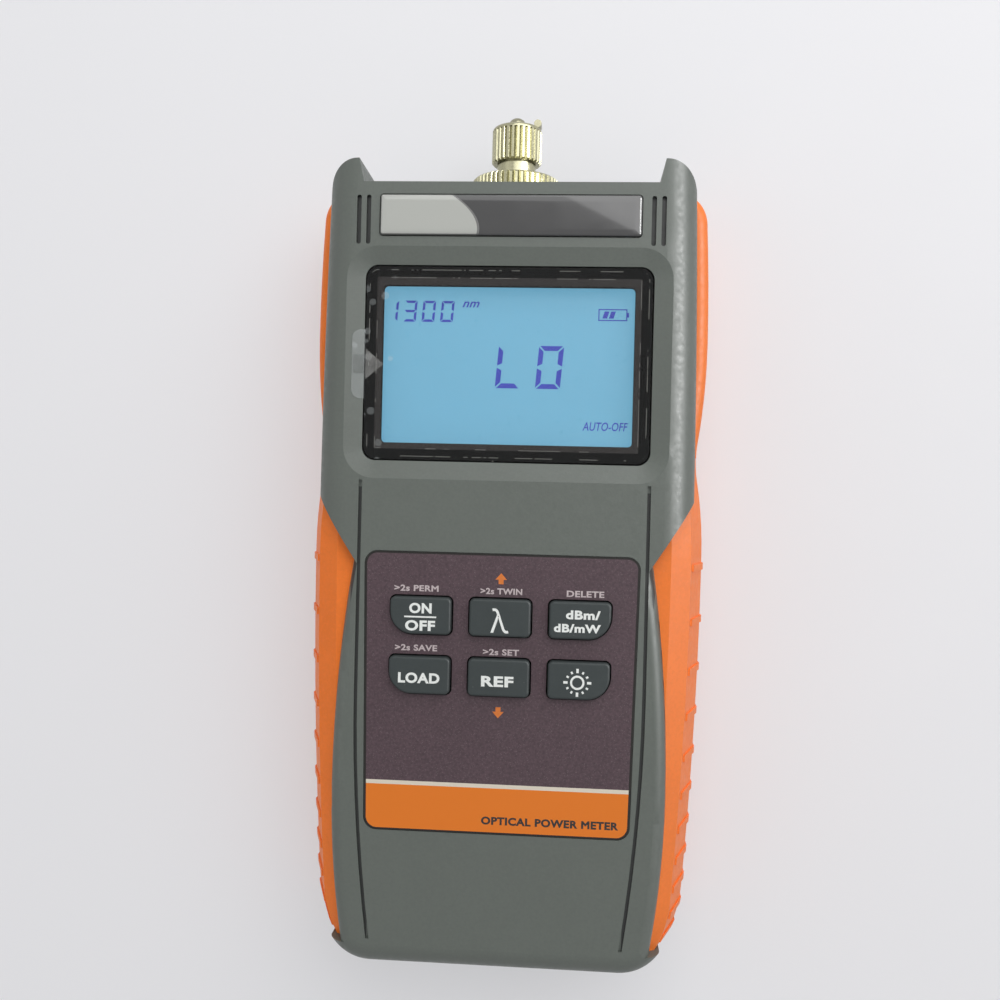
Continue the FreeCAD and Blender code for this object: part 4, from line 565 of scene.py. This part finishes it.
def lettering(name, words, centre, size, height, material, body=HOUSING,
              bold=0.0, slant=0.0):
    """Words as flat print that fills a box of (width, height) about its centre."""
    curve = bpy.data.curves.new(name, "FONT")
    curve.body = words
    curve.bevel_depth = bold
    curve.bevel_resolution = 0
    curve.space_character = 1 + 2 * bold
    curve.shear = slant
    curve.resolution_u = 4
    holder = bpy.data.objects.new(name, curve)
    bpy.context.collection.objects.link(holder)
    bpy.context.view_layer.update()
    mesh = bpy.data.meshes.new_from_object(holder)
    bpy.data.objects.remove(holder)
    bpy.data.curves.remove(curve)
    flatten(mesh, centre, size, height)
    mesh.name = name
    printed(name, mesh, material, body)


def rectangle(left, right, low, high):
    return [(left, low), (right, low), (right, high), (left, high)]


def turned_by(points, angle, centre):
    """Points about the origin, turned and moved to a centre."""
    cos, sin = math.cos(angle), math.sin(angle)
    return [(centre[0] + x * cos - y * sin, centre[1] + x * sin + y * cos) for x, y in points]


def ring_of(centre, inner, outer, count=32):
    """Quads round a ring."""
    quads = []
    for i in range(count):
        a, b = (2 * math.pi * k / count for k in (i, i + 1))
        quads.append([(centre[0] + r * math.cos(t), centre[1] + r * math.sin(t))
                      for r, t in ((inner, a), (outer, a), (outer, b), (inner, b))])
    return quads


# Bars of each character: a top, b c right, d foot, e f left, g middle.
SEGMENTS = {"0": "abcdef", "1": "bc", "3": "abcdg", "L": "def", "O": "abcdef"}


def segment_digits(words, left, right, low, high, thick, slant=0.08, share=0.72):
    """Seven-segment characters, each in an equal part of the stretch."""
    pitch, tall = (right - left) / len(words), high - low
    wide, gap = pitch * share, thick * 0.22
    half = tall / 2
    level = {"a": (tall, tall - thick), "g": (half + thick / 2, half - thick / 2), "d": (0, thick)}
    upright = {"f": (0, half), "e": (0, 0), "b": (wide, half), "c": (wide, 0)}
    polygons = []
    for number, character in enumerate(words):
        start = left + number * pitch
        for letter in SEGMENTS[character]:
            if letter in level:
                outer, inner = level[letter]
                points = [(gap, outer), (wide - gap, outer),
                          (wide - thick - gap, inner), (thick + gap, inner)]
            else:
                side, foot = upright[letter]
                inner = side + (thick if side == 0 else -thick)
                below, above = (thick / 2, thick) if foot else (thick, thick / 2)
                points = [(side, foot + gap), (inner, foot + below + gap),
                          (inner, foot + half - above - gap), (side, foot + half - gap)]
            polygons.append([(start + x + slant * y, low + y) for x, y in points])
    return polygons


# ----------------------------------------------------------------- operators

class MeterOperator:
    """Shared access to the settings."""
    bl_options = {"REGISTER", "UNDO"}

    @property
    def finishes(self):
        return bpy.context.scene.meter_finishes

    @property
    def sizes(self):
        return bpy.context.scene.meter_print


class METER_OT_housing(MeterOperator, bpy.types.Operator):
    """Moulded case, battery door, stand and case screws"""
    bl_idname = "meter.housing"
    bl_label = "Housing"

    def execute(self, context):
        shell = moulded("moulded_case", self.finishes.housing, 0.44, grooves=True)
        dress(shell, "front_shell", "back_shell")
        dress(moulded("moulded_door", self.finishes.housing, 0.5), "battery_door")
        dress(moulded("moulded_stand", self.finishes.housing, 0.5), "stand")
        dress(metal("screw_steel", self.finishes.steel, 0.3), "case_screws")
        return {"FINISHED"}


class METER_OT_grips(MeterOperator, bpy.types.Operator):
    """Rubber grips on both sides"""
    bl_idname = "meter.grips"
    bl_label = "Grips"

    def execute(self, context):
        dress(rubber("grip_rubber", self.finishes.grip, 0.5), "grip_left", "grip_right")
        return {"FINISHED"}


class METER_OT_display(MeterOperator, bpy.types.Operator):
    """Window, film and lit display with its reading"""
    bl_idname = "meter.display"
    bl_label = "Display"

    def execute(self, context):
        dress(window_plate(self.finishes, self.sizes), "display_lens")
        dress(film(), "screen_film")
        dress(lit_screen(self.finishes), "lcd_panel")
        dress(plain("window_tape", linear("1A1A1A"), 0.6), "lens_tape")
        dress(plain("display_frame", linear("242424")), "lcd_frame")
        dress(plain("light_guide", linear("DDE6EA"), 0.2), "lcd_backlight")
        dress(plain("contact_rubber", linear("5A5A60"), 0.6), "zebra_strip")
        self.reading()
        self.film_arrow()
        return {"FINISHED"}

    def reading(self):
        """Digits, unit, cell symbol and words of the display."""
        dark = self.lit_ink()
        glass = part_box("lcd_panel")
        height = glass[1].z + PRINT_LIFT
        low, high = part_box("display_lens")
        left, right = low.x + self.sizes.border_side, high.x - self.sizes.border_side
        foot, head = low.y + self.sizes.border_low, high.y - self.sizes.border_high

        digits = segment_digits("1300", left - 0.3 * MM, left + 14.9 * MM, head - 6.75 * MM,
                                head - 2.45 * MM, 0.5 * MM, share=0.69)
        flat_piece("display_wavelength", digits, height, dark)
        value = segment_digits("LO", left + 22.6 * MM, left + 38.9 * MM, foot + 11.6 * MM,
                               foot + 20.3 * MM, 1.0 * MM, share=0.62)
        flat_piece("display_value", value, height, dark)
        lettering("display_unit", "nm", (left + 17.4 * MM, head - 3.1 * MM), (3.5 * MM, 1.2 * MM),
                  height, dark, bold=0.02, slant=0.35)
        lettering("display_mode", "AUTO-OFF", (right - 5.3 * MM, foot + 4.2 * MM),
                  (9.1 * MM, 1.75 * MM), height, dark, bold=0.012, slant=0.2)
        flat_piece("display_cell", self.cell_symbol(right - 7.2 * MM, head - 6.1 * MM), height,
                   dark)

    def lit_ink(self):
        """Dark parts of the display, lit from behind like the rest of it."""
        recipe = Recipe("display_digit", self.finishes.digit, 0.4)
        recipe.mottle(2200, 0.06, 2)
        recipe.feed(recipe.shader.inputs["Emission Color"], recipe.colour)
        recipe.shader.inputs["Emission Strength"].default_value = DIGIT_GLOW
        recipe.bump(recipe.noise(4200, 2), 0.006 * MM, 0.4)
        return recipe.finish()

    def cell_symbol(self, left, low):
        """Outline of a cell with two slanting bars."""
        wide, tall, line = 5.8 * MM, 2.4 * MM, 0.22 * MM
        right, high = left + wide, low + tall
        shapes = [rectangle(left, right, low, low + line), rectangle(left, right, high - line, high),
                  rectangle(left, left + line, low, high), rectangle(right - line, right, low, high),
                  rectangle(right, right + 0.35 * MM, low + tall * 0.3, low + tall * 0.7)]
        for start in (0.8 * MM, 2.1 * MM):
            base, lean, bar = left + start, 0.45 * MM, 0.95 * MM
            foot, head = low + 2.2 * line, high - 2.2 * line
            shapes.append([(base, foot), (base + bar, foot),
                           (base + bar + lean, head), (base + lean, head)])
        return shapes

    def film_arrow(self):
        """Arrow printed on the film's tab, pointing at the window."""
        tab = film_tab()
        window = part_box("display_lens")
        middle = (tab[0].y + tab[1].y) / 2
        edge, end = window[0].x, tab[0].x + 0.3 * MM
        top, raised = window[1].z + 0.15 * MM, tab[1].z + PRINT_LIFT
        recipe = Recipe("film_print", (0.62, 0.62, 0.6), 0.4)
        recipe.mottle(300, 0.1)
        recipe.paint(recipe.math("LESS_THAN", recipe.x, edge), (0.11, 0.12, 0.115))
        patchy = recipe.ramp(recipe.noise(500, 2), 0.3, 0.7, 0.16, 0.30)
        recipe.feed(recipe.shader.inputs["Alpha"], patchy)
        half_head, half_shaft = 3.1 * MM, 1.9 * MM
        base, tip = edge + 0.2 * MM, edge + 3.9 * MM
        head = [(base, middle - half_head), (tip, middle), (base, middle + half_head)]
        shaft = [(end, middle - half_shaft, raised), (edge, middle - half_shaft, top),
                 (edge, middle + half_shaft, top), (end, middle + half_shaft, raised)]
        flat_piece("film_arrow", [head, shaft], top, recipe.finish())


class METER_OT_nameplate(MeterOperator, bpy.types.Operator):
    """Nameplate under its clear dome, left without a name"""
    bl_idname = "meter.nameplate"
    bl_label = "Nameplate"

    def execute(self, context):
        dress(domed_plate(self.finishes), "nameplate")
        return {"FINISHED"}


# Key, words, width, shift to the right and height over the key in millimetres.
HINTS = (("key_power", ">2s PERM", 8.9, -1.1, 1.0), ("key_wavelength", ">2s TWIN", 8.3, 0.1, 0.85),
         ("key_unit", "DELETE", 7.4, 0.95, 0.8), ("key_load", ">2s SAVE", 8.5, -0.9, 0.95),
         ("key_reference", ">2s SET", 7.2, 0.3, 0.6))


class METER_OT_label(MeterOperator, bpy.types.Operator):
    """Keypad label with its small legends and arrows"""
    bl_idname = "meter.label"
    bl_label = "Keypad label"

    def execute(self, context):
        dress(label_film(self.finishes, self.sizes), "keypad_label")
        dress(rubber("mat_rubber", linear("55585A")), "keypad_mat")
        hint = ink("hint_ink", self.finishes.hint)
        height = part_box("keypad_label")[1].z + PRINT_LIFT
        for key, words, wide, across, up in HINTS:
            centre = (middle_of(key).x + across * MM,
                      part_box(key)[1].y + up * MM + self.sizes.hint_legend / 2)
            lettering("hint_" + key, words, centre, (wide * MM, self.sizes.hint_legend), height,
                      hint, bold=0.03)
        self.arrows(height)
        self.title(height)
        return {"FINISHED"}

    def arrows(self, height):
        """Short arrows above and below the middle keys."""
        paint = ink("arrow_ink", linear("D9772A"))
        centre = middle_of("key_wavelength").x
        for name, start, way in (("arrow_up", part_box("key_wavelength")[1].y + 3.8 * MM, 1),
                                 ("arrow_down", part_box("key_reference")[0].y - 3.2 * MM, -1)):
            stem = rectangle(centre - 0.5 * MM, centre + 0.5 * MM,
                             *sorted((start - way * 0.9 * MM, start)))
            head = [(centre - 1.15 * MM, start), (centre + 1.15 * MM, start),
                    (centre, start + way * 1.3 * MM)]
            flat_piece(name, [stem, head], height, paint)

    def title(self, height):
        """What the instrument is, at the right of the coloured band."""
        low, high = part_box("keypad_label")
        lettering("label_title", "OPTICAL POWER METER",
                  (high.x - 16.6 * MM, low.y + 2.65 * MM), (27.2 * MM, 1.6 * MM), height,
                  ink("title_ink", self.finishes.ink), bold=0.043)


class METER_OT_keys(MeterOperator, bpy.types.Operator):
    """Rubber keys with their legends"""
    bl_idname = "meter.keys"
    bl_label = "Keys"

    def execute(self, context):
        dress(rubber("key_rubber", self.finishes.key, 0.48, 2600), *KEYS)
        self.ink = ink("legend_ink", self.finishes.legend, 0.45)
        tall = self.sizes.key_legend
        self.legend("key_power", "ON", 0.0, 1.5 * MM, 4.5 * MM, tall, "on")
        self.legend("key_power", "OFF", 0.0, -1.95 * MM, 6.0 * MM, tall, "off")
        centre = middle_of("key_power")
        line = rectangle(centre.x - 3.2 * MM, centre.x + 3.2 * MM,
                         centre.y - 0.38 * MM, centre.y - 0.06 * MM)
        flat_piece("legend_line", [line], self.top("key_power"), self.ink, "key_power_body")
        self.legend("key_wavelength", "λ", 0.0, -0.5 * MM, 3.6 * MM, 4.9 * MM, "lambda", 0.0)
        self.legend("key_unit", "dBm/", 0.6 * MM, 1.15 * MM, 6.8 * MM, 1.8 * MM, "unit")
        self.legend("key_unit", "dB/mW", -0.5 * MM, -1.5 * MM, 9.2 * MM, 1.7 * MM, "units")
        self.legend("key_load", "LOAD", 0.0, -0.5 * MM, 8.3 * MM, tall, "load")
        self.legend("key_reference", "REF", -0.2 * MM, -0.65 * MM, 6.4 * MM, tall, "reference")
        self.sun()
        return {"FINISHED"}

    def top(self, key):
        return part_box(key)[1].z + PRINT_LIFT

    def legend(self, key, words, across, up, wide, tall, name, bold=0.042):
        centre = middle_of(key)
        lettering("legend_" + name, words, (centre.x + across, centre.y + up), (wide, tall),
                  self.top(key), self.ink, key + "_body", bold)

    def sun(self):
        """Sun sign: a ring with long and short rays in turn."""
        key = "key_light"
        middle = middle_of(key)
        centre = (middle.x - 0.25 * MM, middle.y - 0.3 * MM)
        shapes = ring_of(centre, 1.0 * MM, 1.42 * MM)
        for number in range(12):
            angle = number * math.pi / 6
            half, start, end = (0.25, 1.9, 2.75) if number % 3 == 0 else (0.2, 1.95, 2.45)
            ray = rectangle(start * MM, end * MM, -half * MM, half * MM)
            shapes.append(turned_by(ray, angle, centre))
        flat_piece("legend_sun", shapes, self.top(key), self.ink, key + "_body")


class METER_OT_port(MeterOperator, bpy.types.Operator):
    """Plated fibre port, adapter, ring and dust cap"""
    bl_idname = "meter.port"
    bl_label = "Fibre port"

    def execute(self, context):
        plated = metal("plated_brass", self.finishes.metal, 0.28)
        dress(plated, "detector_port", "adapter", "adapter_ring", "dust_cap")
        dress(metal("rolled_strip", linear("9C9980"), 0.3, (0.2, 1, 1)), "tether_strip", "rivet")
        dress(metal("can_steel", self.finishes.steel), "photodiode")
        return {"FINISHED"}


class METER_OT_inside(MeterOperator, bpy.types.Operator):
    """Board, chips, snap domes, cells and contacts"""
    bl_idname = "meter.inside"
    bl_label = "Inside"

    def execute(self, context):
        dress(board_laminate(), "main_board")
        dress(plain("chip_resin", linear("202020"), 0.55), "processor_chip", "amplifier_chip")
        spring = metal("spring_steel", self.finishes.steel, 0.22, (1, 1, 1))
        dress(spring, "snap_domes", "board_screws", "plate_contacts", "leaf_contacts")
        dress(cell_wrap(), "battery_1", "battery_2", "battery_3")
        return {"FINISHED"}


# Lamp, its power in the settings, its side and its place from the case's middle, in metres.
LAMPS = (("large_lamp", "key_power", 0.55, (0.17, 0.34, 0.34)),
         ("left_lamp", "fill_power", 0.45, (-0.5, 0.1, 0.45)),
         ("gloss_lamp", "gloss_power", 0.3, (0.5, 0.12, 0.36)))
SENSOR = 36.0
FLOOR_HALF = 3.0
FLOOR_DROP = 0.3 * MM  # floor below the case's back


class METER_OT_stage(MeterOperator, bpy.types.Operator):
    """Pale floor, soft lamps and the camera"""
    bl_idname = "meter.stage"
    bl_label = "Stage"

    def execute(self, context):
        stage = context.scene.meter_stage
        context.scene.view_settings.view_transform = "Standard"
        self.floor(stage)
        self.sky(stage)
        centre = (CAD_BOX[0] + CAD_BOX[1]) / 2
        for name, power, side, offset in LAMPS:
            lamp = self.lamp(name, getattr(stage, power), side, centre + Vector(offset), centre)
            lamp.visible_diffuse = name != "gloss_lamp"
        data = bpy.data.cameras.new("camera")
        data.lens = stage.lens
        data.sensor_width = SENSOR
        data.clip_start, data.clip_end = 0.01, 20.0
        camera = bpy.data.objects.new("camera", data)
        context.collection.objects.link(camera)
        camera.location = stage.eye
        camera.rotation_euler = stage.tilt
        context.scene.camera = camera
        return {"FINISHED"}

    def floor(self, stage):
        half = FLOOR_HALF
        mesh = bpy.data.meshes.new("floor")
        mesh.from_pydata([(-half, -half, 0), (half, -half, 0), (half, half, 0), (-half, half, 0)],
                         [], [(0, 1, 2, 3)])
        floor = bpy.data.objects.new("floor", mesh)
        floor.location.z = CAD_BOX[0].z - FLOOR_DROP
        bpy.context.collection.objects.link(floor)
        recipe = Recipe("pale_floor", stage.floor, 0.85)
        recipe.mottle(4, 0.012)
        recipe.bump(recipe.noise(500, 2), 0.05 * MM, 0.15)
        mesh.materials.append(recipe.finish(40, 0.04))
        self.lift_floor(recipe, stage)

    def lift_floor(self, recipe, stage):
        """Mix the floor's own pale colour in where it is seen; the rest keeps the shadow."""
        pale = recipe.node("ShaderNodeEmission", Color=(*stage.floor, 1), Strength=1.0)
        seen = recipe.math("MULTIPLY", self.seen_ray(recipe.tree), stage.floor_share)
        mix = recipe.node("ShaderNodeMixShader", Fac=seen)
        out = next(n for n in recipe.tree.nodes if n.type == "OUTPUT_MATERIAL")
        recipe.tree.links.new(recipe.shader.outputs[0], mix.inputs[1])
        recipe.tree.links.new(pale.outputs[0], mix.inputs[2])
        recipe.tree.links.new(mix.outputs[0], out.inputs[0])

    def seen_ray(self, tree):
        """1 for rays that show a surface directly, in gloss or through glass."""
        path = tree.nodes.new("ShaderNodeLightPath")
        shown = path.outputs["Is Camera Ray"]
        for name in ("Is Glossy Ray", "Is Transmission Ray"):
            either = tree.nodes.new("ShaderNodeMath")
            either.operation = "MAXIMUM"
            tree.links.new(shown, either.inputs[0])
            tree.links.new(path.outputs[name], either.inputs[1])
            shown = either.outputs[0]
        return shown

    def sky(self, stage):
        """Even white light, shown in the floor's colour where it is seen, mirrored or not."""
        world = bpy.data.worlds.new("studio")
        bpy.context.scene.world = world
        world.use_nodes = True
        tree = world.node_tree
        light = next(n for n in tree.nodes if n.type == "BACKGROUND")
        light.inputs["Color"].default_value = (1.0, 1.0, 1.0, 1)
        light.inputs["Strength"].default_value = stage.sky
        seen = tree.nodes.new("ShaderNodeBackground")
        seen.inputs["Color"].default_value = (*stage.floor, 1)
        seen.inputs["Strength"].default_value = 1.0
        mix = tree.nodes.new("ShaderNodeMixShader")
        out = next(n for n in tree.nodes if n.type == "OUTPUT_WORLD")
        tree.links.new(self.seen_ray(tree), mix.inputs[0])
        tree.links.new(light.outputs[0], mix.inputs[1])
        tree.links.new(seen.outputs[0], mix.inputs[2])
        tree.links.new(mix.outputs[0], out.inputs[0])

    def lamp(self, name, power, size, place, target):
        data = bpy.data.lights.new(name, "AREA")
        data.energy = power
        data.size = size
        lamp = bpy.data.objects.new(name, data)
        lamp.location = place
        lamp.rotation_euler = (target - place).to_track_quat("-Z", "Y").to_euler()
        bpy.context.collection.objects.link(lamp)
        return lamp


OPERATORS = (METER_OT_housing, METER_OT_grips, METER_OT_display, METER_OT_nameplate, METER_OT_label,
             METER_OT_keys, METER_OT_port, METER_OT_inside, METER_OT_stage)


class METER_PT_panel(bpy.types.Panel):
    """Lists the meter's pieces in the sidebar"""
    bl_idname = "METER_PT_panel"
    bl_label = "Optical power meter"
    bl_space_type = "VIEW_3D"
    bl_region_type = "UI"
    bl_category = "Meter"

    def draw(self, context):
        for operator in OPERATORS:
            self.layout.operator(operator.bl_idname)
        for key in GROUPS:
            group = getattr(context.scene, key)
            box = self.layout.box()
            for name in group.__annotations__:
                box.prop(group, name)


GROUPS = {"meter_finishes": MeterFinishes, "meter_print": MeterPrint, "meter_stage": MeterStage}


def register():
    for group in GROUPS.values():
        bpy.utils.register_class(group)
    for name, group in GROUPS.items():
        setattr(bpy.types.Scene, name, PointerProperty(type=group))
    for operator in OPERATORS:
        bpy.utils.register_class(operator)
    bpy.utils.register_class(METER_PT_panel)


def unregister():
    bpy.utils.unregister_class(METER_PT_panel)
    for operator in reversed(OPERATORS):
        bpy.utils.unregister_class(operator)
    for name, group in GROUPS.items():
        delattr(bpy.types.Scene, name)
        bpy.utils.unregister_class(group)


def main():
    register()
    for operator in OPERATORS:
        group, name = operator.bl_idname.split(".")
        getattr(getattr(bpy.ops, group), name)()


if __name__ == "__main__":
    main()
